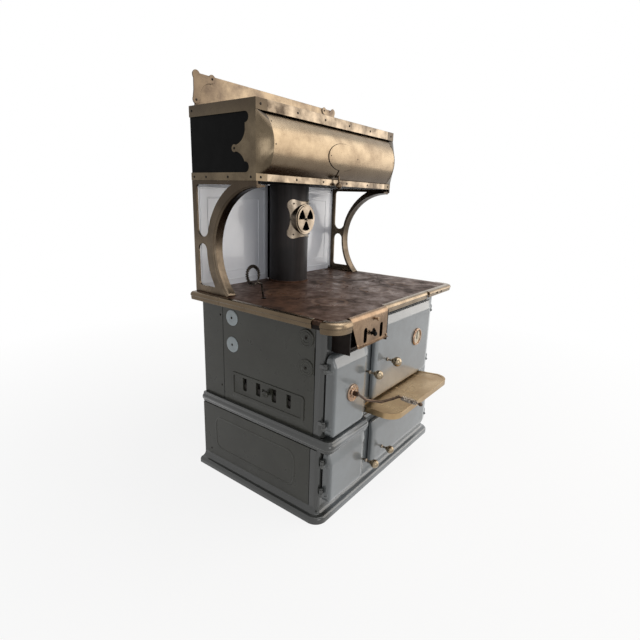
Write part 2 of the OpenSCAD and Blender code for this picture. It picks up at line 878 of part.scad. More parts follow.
module top_flap() {
  knuckle = pin_r + knuckle_wall;
  kl = knuckle_l;
  color(nickel) difference() {
    union() {
      sideways(flap_x, flap_w) flap_profile();
      for (x = [flap_x + flap_slant, flap_x + flap_w - kl])
        translate([x, flap_pin_y, flap_pin_z]) rotate([0, 90, 0]) cylinder(h = kl, r = knuckle);
    }
    facing(flap_y + flap_t + over, flap_t + kick + cut) flap_openings();
    for (x = [flap_x + flap_slant, flap_x + flap_w - kl]) translate([x - over, flap_pin_y, flap_pin_z])
      rotate([0, 90, 0]) cylinder(h = kl + cut, r = pin_r + fit);
    // Slanted left edge, clear of the fire door's hinge
    facing(front_y, 2 * (front_y - flap_y)) polygon([[flap_x - over, top_z - nose_r],
      [flap_x, top_z - nose_r], [flap_x + flap_slant, flap_pin_z + knuckle],
      [flap_x + flap_slant, flap_z0 - knuckle], [flap_x - over, flap_z0 - knuckle]]);
  }
  color(iron) translate([flap_mid_x + knob_stem_r * 3, flap_y + over, flap_slot_z + thumb_rise])
    forward() stud(thumb_r, thumb_l);
}

// Small turned knob
module stud(r, l) {
  rotate_extrude() polygon(concat([[0, 0], [r * 0.55, 0], [r * 0.5, l * 0.45]],
    arc([r * 0.3, l * 0.75], r * 0.7, -50, 60, 6), [[r * 0.3, l], [0, l]]));
}

knob_stem_r = 4;

module flap_slide() {
  y = flap_y + flap_t + seat;
  h = flap_slot_h + 2 * slot_margin;
  x0 = flap_mid_x - flap_slot_in / 2 - flap_slot_w * 1.75;
  x1 = flap_mid_x + flap_slot_in / 2 + flap_slot_w * 0.6;
  color(iron) {
    difference() {
      translate([x0, y, flap_slot_z - flap_slot_h / 2 - slide_t]) cube([x1 - x0, slide_t, h]);
      for (s = [-1, 1])
        translate([flap_mid_x + s * flap_slot_in / 2, y + slide_t + over, flap_slot_z])
          forward() linear_extrude(slide_t + cut) slot(flap_slot_w, flap_slot_h);
    }
    translate([flap_mid_x - flap_travel / 2, y + over, flap_slot_z]) forward() {
      cylinder(h = flap_t + stem_out, r = knob_stem_r - seat);
      up(flap_t + stem_out - over) stud(slide_knob_r, slide_knob_l);
    }
  }
}

// Side draft slide, behind the left panel
module side_slide() {
  x = -upper_x + side_t + seat;
  color(iron) {
    difference() {
      translate([x, register_y - register_w / 2, side_slot_z - side_slot_h / 2 - slot_margin])
        cube([slide_t, register_w + side_travel, side_slot_h + 2 * slot_margin]);
      sideways(x - over, slide_t + cut) side_openings();
    }
    translate([x + over, register_y - side_travel / 2, side_slot_z]) rotate([0, -90, 0]) {
      cylinder(h = side_t + stem_out + cut, r = knob_stem_r);
      up(side_t + stem_out) stud(side_knob_r, side_knob_l);
    }
  }
}

// Firebox, grate and ash pan
module firebox_lining() {
  z1 = under_z - lining_drop;
  color("rosybrown") difference() {
    translate([fire_x0, fire_y0, fire_z0]) cube([fire_w, fire_l, z1 - fire_z0]);
    translate([fire_x0 + lining_t, fire_y0 + lining_t, fire_z0 - over])
      cube([fire_w - 2 * lining_t, fire_l - 2 * lining_t, z1 - fire_z0 + cut]);
    translate([fire_x0 + lining_t, fire_y0 - over, fire_z0 + lining_t])
      cube([fire_w - 2 * lining_t, lining_t + cut, z1 - fire_z0]);
  }
}

module grate_frame() {
  z = fire_z0 - grate_t;
  bx = (fire_x0 + fire_x1) / 2;
  ext = frame_ext;
  color(iron) difference() {
    translate([fire_x0 - ext, fire_y0 - ext, z - grate_t])
      cube([fire_w + 2 * ext, fire_l + 2 * ext, 2 * grate_t]);
    translate([bx - bar_pitch - grate_play, fire_y0 + lining_t, z - grate_t - over])
      cube([2 * (bar_pitch + grate_play), fire_l - 2 * lining_t, 2 * grate_t + cut]);
    for (s = [-1, 1]) translate([bx + s * bar_pitch / 2, fire_y0 - ext - over, z]) rotate([-90, 0, 0])
      cylinder(h = fire_l + 2 * ext + cut, r = bar_r + fit);
  }
}

module grate_bar(s) {
  x = (fire_x0 + fire_x1) / 2 + s * bar_pitch / 2;
  y0 = fire_y0 - shaft_out;
  l = fire_l + 2 * shaft_out;
  step = (l - 2 * lining_t - 2 * finger_in) / (bar_count - 1);
  color(rough) translate([x, y0, fire_z0 - grate_t]) {
    rotate([-90, 0, 0]) cylinder(h = l, r = bar_r);
    for (i = [0 : bar_count - 1]) translate([-bar_half, lining_t + finger_in + i * step - finger_t / 2, 0])
      cube([2 * bar_half, finger_t, grate_t * 0.8]);
    translate([-bar_r, lining_t + rib_in, -grate_t * 0.7])
      cube([2 * bar_r, l - 2 * lining_t - 2 * rib_in, grate_t * 0.8]);
  }
}

module grate_bar_left() { grate_bar(-1); }

module grate_bar_right() { grate_bar(1); }

pan_w = 202;
pan_h = 66;
pan_d = 420;
pan_t = 2;
pan_side_in = 16;
pan_front_in = 30;
pan_rise = 4;
pan_knob_r = 10;
pan_knob_l = 20;
pan_x = ash_door_x + frame_lip + pan_side_in;
pan_y = front_y + pan_front_in;
pan_z = ash_door_z + frame_lip + pan_rise;

module ash_pan() {
  color("gray") {
    difference() {
      translate([pan_x, pan_y, pan_z]) cube([pan_w, pan_d, pan_h]);
      translate([pan_x + pan_t, pan_y + pan_t, pan_z + pan_t])
        cube([pan_w - 2 * pan_t, pan_d - 2 * pan_t, pan_h]);
    }
    translate([pan_x + pan_w / 2, pan_y + over, pan_z + pan_h / 2]) forward()
      stud(pan_knob_r, pan_knob_l);
  }
}

// Oven
module oven_box() {
  y0 = front_y + front_t;
  color(rough) {
    difference() {
      translate([oven_x0 - oven_wall, y0, oven_z0 - oven_wall])
        cube([oven_w + 2 * oven_wall, oven_depth, oven_h + 2 * oven_wall]);
      translate([oven_x0, y0 - over, oven_z0])
        cube([oven_w, oven_depth - oven_wall + over, oven_h]);
      // Keeper window for the door's latch
      translate([oven_x0 - oven_wall - over, y0 - over, oven_knob_z - latch_w])
        cube([oven_wall + cut, 3 * latch_t + over, 7 * latch_w]);
    }
    for (x = [oven_x0 - over, oven_x1 - ledge_w]) translate([x, y0 + ledge_in, rack_z - ledge_t])
      cube([ledge_w + over, oven_depth - 2 * ledge_in, ledge_t]);
  }
}

module oven_rack() {
  x0 = oven_x0 + rack_gap;
  x1 = oven_x1 - rack_gap;
  y0 = front_y + front_t + rack_in;
  y1 = y0 + oven_depth - rack_short;
  z = rack_z + wire_r;
  n = 15;
  color("silver") {
    for (x = [x0 + wire_r, x1 - wire_r]) bar([x, y0, z], [x, y1, z], wire_r);
    for (y = [y0, y1]) bar([x0 + wire_r, y, z], [x1 - wire_r, y, z], wire_r);
    for (i = [1 : n])
      bar([x0 + (x1 - x0) * i / (n + 1), y0, z], [x0 + (x1 - x0) * i / (n + 1), y1, z], wire_r * 0.7);
  }
}

// Flue pipe and its draft
module flue_pipe() {
  color(iron) difference() {
    union() {
      at_pipe(top_z) cylinder(h = pipe_top_z - top_z, r = pipe_r);
      at_pipe(plate_z) forward()
        cylinder(h = pipe_r + boss_out - plate_t - seat, r = boss_r - boss_wall - boss_gap);
    }
    at_pipe(top_z - over)
      cylinder(h = pipe_top_z - top_z + cut, r = pipe_r - pipe_t);
    // Wider socket that takes the next length of pipe
    at_pipe(closet_z1)
      cylinder(h = pipe_spigot + over, r = pipe_r - pipe_t + socket_step);
    at_pipe(plate_z) forward()
      cylinder(h = pipe_r + boss_out + over, r = boss_r - bore_in);
  }
}

module lobes(r) {
  w = r * 1.12;
  h = r * 1.3;
  bow = r * 2.4;
  difference() {
    round_rect(2 * w, 2 * h, r * 0.26);
    for (s = [-1, 1]) {
      translate([s * (w + bow - r * 0.13), 0]) circle(bow);
      translate([0, s * (h + bow - r * 0.13)]) circle(bow);
    }
  }
}

module sectors(r, n, share) {
  for (i = [0 : n - 1]) rotate(i * 360 / n)
    polygon(concat([[r * 0.18, 0]], arc([0, 0], r * 0.84, 0, 360 / n * share, 8),
      [r * 0.18 * [cos(360 / n * share), sin(360 / n * share)]]));
}

module pipe_plate() {
  y = pipe_y - pipe_r - boss_out;
  color(nickel) {
    difference() {
      union() {
        intersection() {
          at_pipe(closet_z - closet_h) cylinder(h = closet_h, r = pipe_r + plate_t);
          at_pipe(plate_z) forward() linear_extrude(pipe_r * 2) lobes(boss_r);
        }
        at_pipe(plate_z) forward()
          cylinder(h = pipe_r + boss_out - plate_t / 2, r = boss_r);
      }
      at_pipe(closet_z - closet_h - over)
        cylinder(h = closet_h + cut, r = pipe_r + seat);
      at_pipe(plate_z) forward()
        cylinder(h = pipe_r * 2, r = boss_r - boss_wall);
      translate([-pipe_r * 2, pipe_y - boss_r / 3, plate_z - pipe_r * 2])
        cube([pipe_r * 4, pipe_r * 2, pipe_r * 4]);
    }
    translate([0, y + plate_t, plate_z]) forward() difference() {
      cylinder(h = plate_t, r = boss_r);
      up(-over) linear_extrude(plate_t + cut) sectors(spinner_r, spinner_windows, open_share);
      up(-over) cylinder(h = plate_t + cut, r = pin_r + fit);
    }
  }
}

module draft_spinner() {
  y = pipe_y - pipe_r - boss_out - seat;
  color(nickel) translate([0, y, plate_z]) forward() {
    difference() {
      cylinder(h = spinner_t, r = spinner_r);
      up(-over) linear_extrude(spinner_t + cut) sectors(spinner_r, spinner_windows, open_share);
    }
    up(-plate_t) cylinder(h = plate_t + over, r = pin_r);
    up(spinner_t - over) stud(spinner_knob_r, spinner_knob_l);
  }
}

// Brackets that carry the closet
module fillet(r) {
  difference() {
    translate([-over, -over]) square(r + over);
    translate([r, r]) circle(r);
  }
}

// Inner edge of the curved bar at the height z
function bar_y(z) = arc_y + sqrt(pow(arc_r + front_bar, 2) - pow(z - arc_z, 2));

module bracket_plan() {
  z1 = closet_z - seat;
  y1 = back_y - rear_bar;
  web = arc_z + web_h * 1.5;
  up_z = web + web_h * 1.3;
  up_r = (y1 - bar_y(up_z)) / 2;
  low_z = web - web_h * 1.7;
  low_r = (y1 - bar_y(low_z)) / 2;
  difference() {
    translate([arc_y, top_z]) square([back_y - arc_y, z1 - top_z]);
    translate([arc_y, arc_z]) circle(arc_r, $fn = 128);
    // Lower opening, round at its top
    translate([y1 - low_r, low_z]) circle(low_r);
    difference() {
      translate([arc_y, top_z + web_h]) square([y1 - arc_y, low_z - top_z - web_h]);
      translate([arc_y, arc_z]) circle(arc_r + front_bar, $fn = 128);
      translate([y1, top_z + web_h]) rotate(90) fillet(corner_r);
    }
    // Upper opening, round at its foot
    translate([y1 - up_r, up_z]) circle(up_r);
    difference() {
      translate([arc_y, up_z]) square([y1 - arc_y, z1 - up_z - web_h * 0.5]);
      translate([arc_y, arc_z]) circle(arc_r + front_bar, $fn = 128);
      translate([y1, z1 - web_h * 0.5]) rotate(180) fillet(corner_r);
    }
  }
}

module bracket_right() {
  a0 = -asin((arc_z - top_z) / arc_r);
  a1 = 89;
  lip = 7;
  color(dull) {
    sideways(bracket_x - bracket_t, bracket_t) bracket_plan();
    // Rolled flange along the arc
    intersection() {
      translate([bracket_x, arc_y, arc_z]) rotate([0, 90, 0]) rotate([0, 0, 90 + a0])
        mirror([0, 0, 1]) rotate_extrude(angle = a1 - a0, $fn = 128) flange_profile(lip);
      translate([-top_w, arc_y, top_z]) cube([2 * top_w, back_y - arc_y, closet_z - seat - top_z]);
    }
    translate([bracket_x - foot_w, arc_y + arc_r * 0.8, top_z])
      cube([foot_w, rear_y - sheet_t - seat - arc_y - arc_r * 0.8, lip]);
  }
}

foot_w = 30;

module flange_profile(lip) {
  polygon(concat(
    arc([arc_r + lip, flange_w * 0.3], flange_w * 0.3, 270, 190, 6),
    [[arc_r - lip * 0.4, flange_w * 0.8], [arc_r - lip * 0.4, flange_w], [arc_r + lip * 0.6, flange_w],
      [arc_r + lip * 0.6, flange_w * 0.8], [arc_r + lip * 1.1, flange_w * 0.3], [arc_r + lip * 1.2, 0]]));
}

module bracket_left() { mirror([1, 0, 0]) bracket_right(); }

// White enamel panels behind the cooktop
panel_in_x = 50;
panel_shares = [0.90, 0.72];
panel_rise = 1.5;
panel_corner = 8;
panel_line = 6;

module splash_panels() {
  w = bracket_x - bracket_t - seat - panel_in_x;
  h = closet_z - seat - top_z;
  color("white") for (s = [-1, 1]) translate([s * (panel_in_x + w / 2), rear_y, top_z + h / 2])
    forward() {
      linear_extrude(sheet_t) square([w, h], center = true);
      for (k = panel_shares) linear_extrude(sheet_t + panel_rise) difference() {
        round_rect(w * k, h * k, panel_corner);
        round_rect(w * k - 2 * panel_line, h * k - 2 * panel_line, panel_corner - panel_line * 0.8);
      }
    }
}

// Warming closet
module closet_shell() {
  x = closet_x;
  color(black) {
    difference() {
      translate([-x, closet_y0, closet_z]) cube([2 * x, closet_d, closet_h]);
      translate([-x + sheet_t, closet_y0 - over, closet_z + sheet_t])
        cube([2 * (x - sheet_t), closet_d - sheet_t + over, closet_h - 2 * sheet_t]);
      at_pipe(closet_z - over) cylinder(h = closet_h + cut, r = pipe_r + seat);
    }
    for (s = [-1, 1]) translate([s * (x - over), barrel_y, barrel_z]) rotate([0, -s * 90, 0])
      cylinder(h = x - barrel_x + door_arm_t * 3, r = pivot_r);
  }
}

// Scalloped end casting: bands, tip and corner tabs
scallop_strip = 48;
scallop_tip = [103, 109];
scallop_bite = 56;
scallop_tip_r = 13;
scallop_end_r = 18;
band_over = 3;

module scallop_plan() {
  y0 = closet_y0;
  strip = scallop_strip;
  tip = [y0, closet_z] + scallop_tip;
  bite = scallop_bite;
  tip_r = scallop_tip_r;
  translate([y0 - casting_t, closet_z]) square([strip + casting_t, closet_h]);
  translate([y0, closet_z]) square([closet_d, bottom_rail_h + band_over]);
  translate([y0, closet_z1 - top_rail_h - band_over]) square([closet_d, top_rail_h + band_over]);
  translate(tip) circle(tip_r);
  difference() {
    translate([y0 + strip - over, tip[1] - bite]) square([tip[0] - y0 - strip + over, 2 * bite]);
    for (s = [-1, 1]) translate([tip[0], tip[1] + s * (bite + tip_r * 0.8)]) circle(bite);
  }
}

module closet_end(s) {
  y0 = closet_y0;
  x1 = closet_x + casting_t;
  color(dull) {
    translate([s > 0 ? closet_x : -x1, 0, 0]) sideways(0, casting_t) difference() {
      scallop_plan();
      for (z = [closet_z1 - top_rail_h - band_over - scallop_end_r,
        closet_z + bottom_rail_h + band_over + scallop_end_r])
        translate([y0 + scallop_strip, z]) circle(scallop_end_r);
    }
    // Cheek lofted from the corner line to the barrel's end
    hull() {
      translate([s > 0 ? closet_x - cheek_root : -x1, y0 - casting_t, closet_z + bottom_rail_h])
        cube([casting_t + cheek_root, casting_t - seat, closet_h - top_rail_h - bottom_rail_h]);
      translate([s > 0 ? barrel_x : -barrel_x - cheek_root, 0, 0]) sideways(0, cheek_root) intersection() {
        translate([barrel_y, barrel_z]) circle(barrel_r + cheek_lead);
        translate([y0 - barrel_r, barrel_z - chord_h]) square([barrel_r - seat, 2 * chord_h]);
      }
    }
    for (t = [[closet_z, bottom_rail_h], [closet_z1 - top_rail_h, top_rail_h]])
      translate([s > 0 ? barrel_x - cheek_lap : -x1, y0 - rail_out, t[0]])
        cube([x1 - barrel_x + cheek_lap, rail_out, t[1]]);
  }
}

module closet_end_left() { closet_end(-1); }

module closet_end_right() { closet_end(1); }

module closet_rails() {
  w = 2 * (barrel_x - cheek_lap - rail_gap);
  y = closet_y0 - rail_out;
  color(nickel) {
    translate([-w / 2, y, closet_z1 - top_rail_h]) cube([w, rail_t, top_rail_h]);
    translate([-w / 2, y, closet_z1 - sheet_t]) cube([w, rail_out, sheet_t]);
    translate([-w / 2, y, closet_z]) cube([w, rail_out, bottom_rail_h]);
  }
}

// Roll door: a curved sheet on two sector arms
module closet_door() {
  w = barrel_x - seat;
  a = asin(chord_h / barrel_r);
  a1 = asin(chord_top / barrel_r);
  r0 = barrel_r - sheet_t;
  color(nickel) {
    difference() {
      union() {
        translate([-w, barrel_y, barrel_z]) rotate([90, 0, 90]) linear_extrude(2 * w)
          polygon(concat(arc([0, 0], barrel_r, 180 - a1, 180 + a, 24),
            arc([0, 0], r0, 180 + a, 180 - a1, 24)));
        for (x = [-w, w - door_arm_t]) translate([x, barrel_y, barrel_z]) rotate([90, 0, 90])
          linear_extrude(door_arm_t) {
            polygon(concat([[0, 0]], arc([0, 0], r0 + over, 180 - a * 0.5, 180 + a * 0.5, 12)));
            circle(pivot_r * 3);
          }
      }
      translate([-w - over, barrel_y, barrel_z]) rotate([0, 90, 0])
        cylinder(h = 2 * w + cut, r = pivot_r + fit);
    }
  }
}

handle_w = 220;
handle_h = 104;
handle_drop = 10;
tongue_w = 32;
tongue_l = 40;
tongue_drop = 28;
ball_r = 14;
ball_out = 23;
ball_rise = 1;
ball_stem_r = 4;
ball_stem_l = 38;

module closet_handle() {
  hw = handle_w / 2;
  hh = handle_h / 2;
  hz = barrel_z - handle_drop;
  by = closet_y0 - ball_out;
  bz = closet_z + ball_rise;
  color(nickel) {
    difference() {
      intersection() {
        translate([-hw - over, barrel_y, barrel_z]) rotate([0, 90, 0])
          cylinder(h = 2 * hw + cut, r = barrel_r + plate_rise, $fn = 128);
        facing(barrel_y, barrel_r * 2) {
          translate([0, hz]) polygon([for (i = [0 : 47]) [hw * cos(i * 7.5), hh * sin(i * 7.5)]]);
          translate([-tongue_w / 2, hz - hh - tongue_drop]) square([tongue_w, tongue_l]);
        }
      }
      translate([-hw - cut, barrel_y, barrel_z]) rotate([0, 90, 0])
        cylinder(h = 2 * hw + 4 * over, r = barrel_r + rail_gap, $fn = 128);
    }
    bar([0, by + sheet_t, bz + ball_stem_l], [0, by, bz + ball_stem_r], ball_stem_r);
    translate([0, by, bz]) sphere(ball_r);
  }
}

// Crest behind the closet
crest_in = 22;
crest_x = closet_x - crest_in;

module crest_plate() {
  color(nickel) translate([-crest_x, back_y - sheet_t, closet_z1])
    cube([2 * crest_x, sheet_t, crest_h]);
}

module crest_end_plan() {
  r = 17;
  top = [r * 0.6, crest_h - r * 0.55];
  low = [r * 0.35, r * 1.6];
  inner = [r * 5, crest_h - r * 0.6];
  bite = [r * 4.7, r * 2.3];
  difference() {
    union() {
      translate(top) circle(r * 1.05);
      translate(low) circle(r * 0.94);
      translate(inner) circle(r * 0.94);
      polygon([top + [-r * 0.8, -r * 0.5], top + [r * 0.3, r], top + [r * 1.8, -r * 0.2],
        inner + [-r, r * 0.4], inner + [-r * 0.1, -r * 0.9], bite, low + [r * 0.9, 0],
        low + [-r * 0.9, 0], low + [-r * 0.6, r * 2]]);
    }
    translate(bite) circle(r * 3.2);
  }
}

module crest_ends() {
  color(nickel) for (s = [-1, 1]) mirror([s > 0 ? 1 : 0, 0, 0])
    translate([-crest_x, back_y - sheet_t, closet_z1]) forward()
      linear_extrude(casting_t) crest_end_plan();
}

// Pillow-shaped cast door, its left edge at x = 0 and its back at y = 0
module door_shape(w, z0, h, d, bevel_h, bevel_d, edge_r, corner_r) {
  intersection() {
    rotate([90, 0, 90]) linear_extrude(w) mirror([1, 0]) polygon(concat(
      [[0, z0], [d - edge_r, z0]],
      arc([d - edge_r, z0 + edge_r], edge_r, 270, 360, 6),
      arc([d - edge_r, z0 + h - bevel_h], edge_r, 0, 35, 4),
      arc([bevel_d, z0 + h - bevel_d], bevel_d, 40, 90, 6),
      [[0, z0 + h]]));
    up(z0) linear_extrude(h) mirror([0, 1]) {
      square([w, d - edge_r]);
      translate([edge_r, 0]) square([w - 2 * edge_r, d]);
      for (x = [edge_r, w - edge_r]) translate([x, d - edge_r]) circle(edge_r);
    }
    forward() linear_extrude(d) translate([w / 2, z0 + h / 2]) round_rect(w, h, corner_r);
  }
}

module door_casting(w, z0, h, d, bevel_h, bevel_d, edge_r, corner_r) {
  t = door_wall;
  difference() {
    door_shape(w, z0, h, d, bevel_h, bevel_d, edge_r, corner_r);
    translate([t, over, 0]) door_shape(w - 2 * t, z0 + t, h - 2 * t, d - t + over, bevel_h, bevel_d,
      edge_r - t / 2, corner_r);
  }
}

// Lug and strap of one hinge leaf
module door_leaf(hx, hy, z, d) {
  y1 = -d * 0.72;
  up(z - lug_h - lug_gap) {
    translate([hx, hy, 0]) cylinder(h = lug_h, r = lug_r);
    translate([hx, hy - lug_r, 0]) cube([-hx + over, lug_r * 1.6, lug_h]);
    translate([-strap_t, y1, lug_h * 0.15]) cube([strap_t + over, hy - y1, lug_h * 0.7]);
    translate([-strap_t, y1, lug_h / 2]) rotate([0, 90, 0])
      cylinder(h = strap_t + over, r = lug_h * 0.35);
  }
}

module pin_bores(hx, hy, zs) {
  for (z = zs) translate([hx, hy, z - lug_h - lug_gap - over])
    cylinder(h = lug_h + cut, r = pin_r + fit);
}

spindle_r = 4;
latch_w = 8;
latch_t = 5;

// Bore for a knob's spindle
module spindle_bore(x, z, d) {
  translate([x, over, z]) forward() cylinder(h = d + cut, r = spindle_r + fit);
}

door_back = 5;
door_y = front_y - door_back;
slope_h = 40;
slope_d = 26;
door_edge_r = 8;
door_corner_r = 24;
oven_slope_h = 56;
lower_slope_h = 24;
right_edge_r = 6;
right_corner_r = 14;

module left_door(x, hinge_x, w, z, h, d, knob_x, knob_z) {
  hx = hinge_x - x;
  hy = left_hinge_y - front_y + door_back;
  zs = lug_zs(z, h);
  translate([x, door_y, 0]) difference() {
    union() {
      door_casting(w, z, h, d, slope_h, slope_d, door_edge_r, door_corner_r);
      for (lz = zs) door_leaf(hx, hy, lz, d);
      translate([knob_x - x, 0, knob_z]) forward() cylinder(h = d - over, r = spindle_r * 2);
      children();
    }
    pin_bores(hx, hy, zs);
    spindle_bore(knob_x - x, knob_z, d);
  }
}

module fire_door() {
  d = fire_door_d;
  color(enamel) difference() {
    left_door(fire_door_x, fire_hinge_x, fire_door_w, fire_door_z, fire_door_h, d, fire_knob_x, fire_knob_z)
      translate([hub_x - fire_door_x, -d + over, crank_z]) rotate([-90, 0, 0])
        cylinder(h = d - over, r = spindle_r * 2.5);
    translate([0, door_y, 0]) spindle_bore(hub_x, crank_z, d);
  }
}

module ash_door() {
  color(enamel)
    left_door(ash_door_x, ash_hinge_x, ash_door_w, ash_door_z, ash_door_h, ash_door_d,
      ash_knob_x, ash_knob_z);
}

// Right-hand doors are a mirrored left-hand form
module right_door(door_x, hinge_x, w, z, h, d, bevel_h, knob_x, knob_z) {
  zs = lug_zs(z, h);
  hx = door_x - hinge_x;
  hy = right_hinge_y - front_y + door_back;
  translate([door_x, door_y, 0]) mirror([1, 0, 0]) difference() {
    union() {
      door_casting(w, z, h, d, bevel_h, d * 0.7, right_edge_r, right_corner_r);
      for (zz = zs) door_leaf(hx, hy, zz, d);
      translate([door_x - knob_x, 0, knob_z]) forward()
        cylinder(h = d - over, r = spindle_r * 2);
    }
    pin_bores(hx, hy, zs);
    spindle_bore(door_x - knob_x, knob_z, d);
  }
}

module oven_door() {
  color(enamel) difference() {
    right_door(oven_door_x, oven_hinge_x, oven_door_w, oven_door_z, oven_door_h, oven_door_d, oven_slope_h,
      oven_knob_x, oven_knob_z);
    translate([gauge_x, door_y + over, gauge_z]) forward()
      cylinder(h = oven_door_d + cut, r = gauge_r * 0.6);
  }
}

module lower_door() {
  color(enamel)
    right_door(lower_door_x, lower_hinge_x, lower_door_w, lower_door_z, lower_door_h, lower_door_d,
      lower_slope_h, lower_knob_x, lower_knob_z);
}

// Turn knobs: egg knob, spindle and latch
fire_knob_in = 14;
fire_knob_rise = 196;
ash_knob_in = 11;
ash_knob_rise = 72;
oven_knob_in = 97;
oven_knob_rise = 154;
lower_knob_in = 81;
lower_knob_rise = 60;
fire_knob_x = fire_door_x + fire_door_w - fire_knob_in;
fire_knob_z = fire_door_z + fire_knob_rise;
ash_knob_x = ash_door_x + ash_door_w - ash_knob_in;
ash_knob_z = ash_door_z + ash_knob_rise;
oven_knob_x = oven_door_x - oven_door_w + oven_knob_in;
oven_knob_z = oven_door_z + oven_knob_rise;
lower_knob_x = lower_door_x - lower_door_w + lower_knob_in;
lower_knob_z = lower_door_z + lower_knob_rise;
knob_r = 16;
oven_knob_r = 19;
knob_stem = 26;
knob_collar = 4;
knob_neck = 8;
latch_gap = 2;
latch_l = 34;
oven_latch_l = 88;
lower_latch_l = 90;

module turn_knob(x, z, d, r, reach) {
  y = door_y - d;
  stem = knob_stem;
  tail = d + door_back + front_t + latch_gap;
  color(nickel) translate([x, y, z]) forward() {
    rotate_extrude() polygon(concat(
      [[0, seat], [spindle_r * 1.8, seat], [spindle_r * 1.8, knob_collar], [spindle_r * 1.1, knob_neck],
        [spindle_r * 1.1, stem]],
      arc([0, stem + r * 1.1], r, -66, 90, 12)));
    up(-tail - latch_t) cylinder(h = tail + latch_t + over, r = spindle_r);
    translate([-latch_w / 2, -latch_w / 2, -tail - latch_t]) cube([latch_w, reach, latch_t]);
  }
}

module fire_knob() { turn_knob(fire_knob_x, fire_knob_z, fire_door_d, knob_r, latch_l); }

module ash_knob() { turn_knob(ash_knob_x, ash_knob_z, ash_door_d, knob_r, latch_l); }

module oven_knob() { turn_knob(oven_knob_x, oven_knob_z, oven_door_d, oven_knob_r, oven_latch_l); }

module lower_knob() { turn_knob(lower_knob_x, lower_knob_z, lower_door_d, knob_r, lower_latch_l); }

// Crank on the fire door
crank_in = 115;
crank_rise = 149;
hub_x = fire_door_x + crank_in;
crank_z = fire_door_z + crank_rise;
crank_latch_gap = 4;
crank_latch_t = 8;
rosette_r = 34;
rosette_t = 9;
rod_r = 5;
grip_r = 8;
grip_wire = 2.2;
grip_turns = 10;
crank_l = 180;
crank_y0 = door_y - fire_door_d - rosette_t;
hub_out = 16;
// Bends: shares of the length along X, the hub's reach out, the length down
crank_shares = [[0, 1, 0], [0.24, 1.6, 0.19], [0.56, 3.6, 0.3], [0.86, 4.9, 0.3], [1.02, 5.6, 0.283]];
crank_p = [for (k = crank_shares)
  [hub_x + crank_l * k[0], crank_y0 - hub_out * k[1], crank_z - crank_l * k[2]]];
grip_b = [hub_x + crank_l * 1.15, -back_y + grip_r, crank_z - crank_l * 0.367];
grip_a = crank_p[4] + unit(grip_b - crank_p[4]) * grip_r * 1.2;

module rosette() {
  color(copper) translate([hub_x, crank_y0 + rosette_t, crank_z]) forward()
    rotate_extrude() polygon([
      [spindle_r + seat, 0], [rosette_r, 0], [rosette_r, rosette_t * 0.35],
      [rosette_r * 0.85, rosette_t * 0.8], [rosette_r * 0.6, rosette_t * 0.6],
      [rosette_r * 0.42, rosette_t], [spindle_r + seat, rosette_t]]);
}

module crank() {
  tail = fire_door_d + rosette_t + door_back + front_t + crank_latch_gap;
  color(rough) {
    translate([hub_x, crank_y0 - hub_out, crank_z]) rotate([-90, 0, 0]) {
      cylinder(h = hub_out - seat, r = rod_r * 1.9);
      cylinder(h = hub_out + tail, r = spindle_r);
    }
    translate([hub_x - rod_r, crank_y0 + tail - over, crank_z - spindle_r / 2])
      cube([2 * rod_r, crank_latch_t, spindle_r]);
    for (i = [0 : 3]) bar(crank_p[i], crank_p[i + 1], rod_r);
    for (p = crank_p) translate(p) sphere(rod_r * 1.08, $fn = coarse);
    bar(crank_p[4], grip_b, rod_r * 0.8);
    translate(grip_b) sphere(grip_r);
  }
}

// Coiled wire grip, fuller at its middle
grip_l = norm(grip_b - grip_a) - 2 * grip_r;
grip_t = unit(grip_b - grip_a);
grip_u = unit(cross(grip_t, [0, 0, 1]));
grip_v = cross(grip_t, grip_u);
grip_n = grip_turns * 8;
grip_dirs = [for (i = [0 : grip_n]) grip_u * cos(i * 45) + grip_v * sin(i * 45)];
grip_pts = [for (i = [0 : grip_n]) grip_a + grip_t * (grip_wire + grip_l * i / grip_n) +
  grip_dirs[i] * (grip_r + sin(180 * i / grip_n) * grip_wire)];

// Least clear gap between the turns of a coil
function coil_gap(pts, r) = min([for (i = [0 : len(pts) - 7], j = [i + 6 : min(i + 12, len(pts) - 1)])
  norm(pts[i] - pts[j])]) - 2 * r;

module crank_grip() {
  echo(crank_grip_least_gap = coil_gap(grip_pts, grip_wire));
  color(black) tube(grip_pts, grip_dirs, grip_wire, 6);
}

// Oven thermometer
gauge_in = 155;
gauge_rise = 191;
gauge_x = oven_door_x - gauge_in;
gauge_z = oven_door_z + gauge_rise;
needle_pin_r = 2;
needle_t = 1.5;
needle_shares = [[-0.061, -0.244], [0.061, -0.244], [0.037, 0.66], [-0.037, 0.66]];
gauge_r = 41;
gauge_t = 9;

module oven_gauge() {
  color(copper) translate([gauge_x, door_y - oven_door_d, gauge_z])
    forward() rotate_extrude() polygon([
      [needle_pin_r + fit, -door_wall], [gauge_r * 0.6 - seat, -door_wall], [gauge_r * 0.6 - seat, 0],
      [gauge_r, 0], [gauge_r, gauge_t * 0.5], [gauge_r * 0.92, gauge_t],
      [gauge_r * 0.8, gauge_t], [gauge_r * 0.76, gauge_t * 0.3], [needle_pin_r + fit, gauge_t * 0.3]]);
}

module gauge_needle() {
  y = door_y - oven_door_d - gauge_t * 0.3;
  color(black) translate([gauge_x, y, gauge_z]) forward() {
    up(-gauge_t * 0.8) cylinder(h = gauge_t * 0.8 + needle_pin_r, r = needle_pin_r);
    up(seat) linear_extrude(needle_t)
      polygon(gauge_r * needle_shares);
  }
}

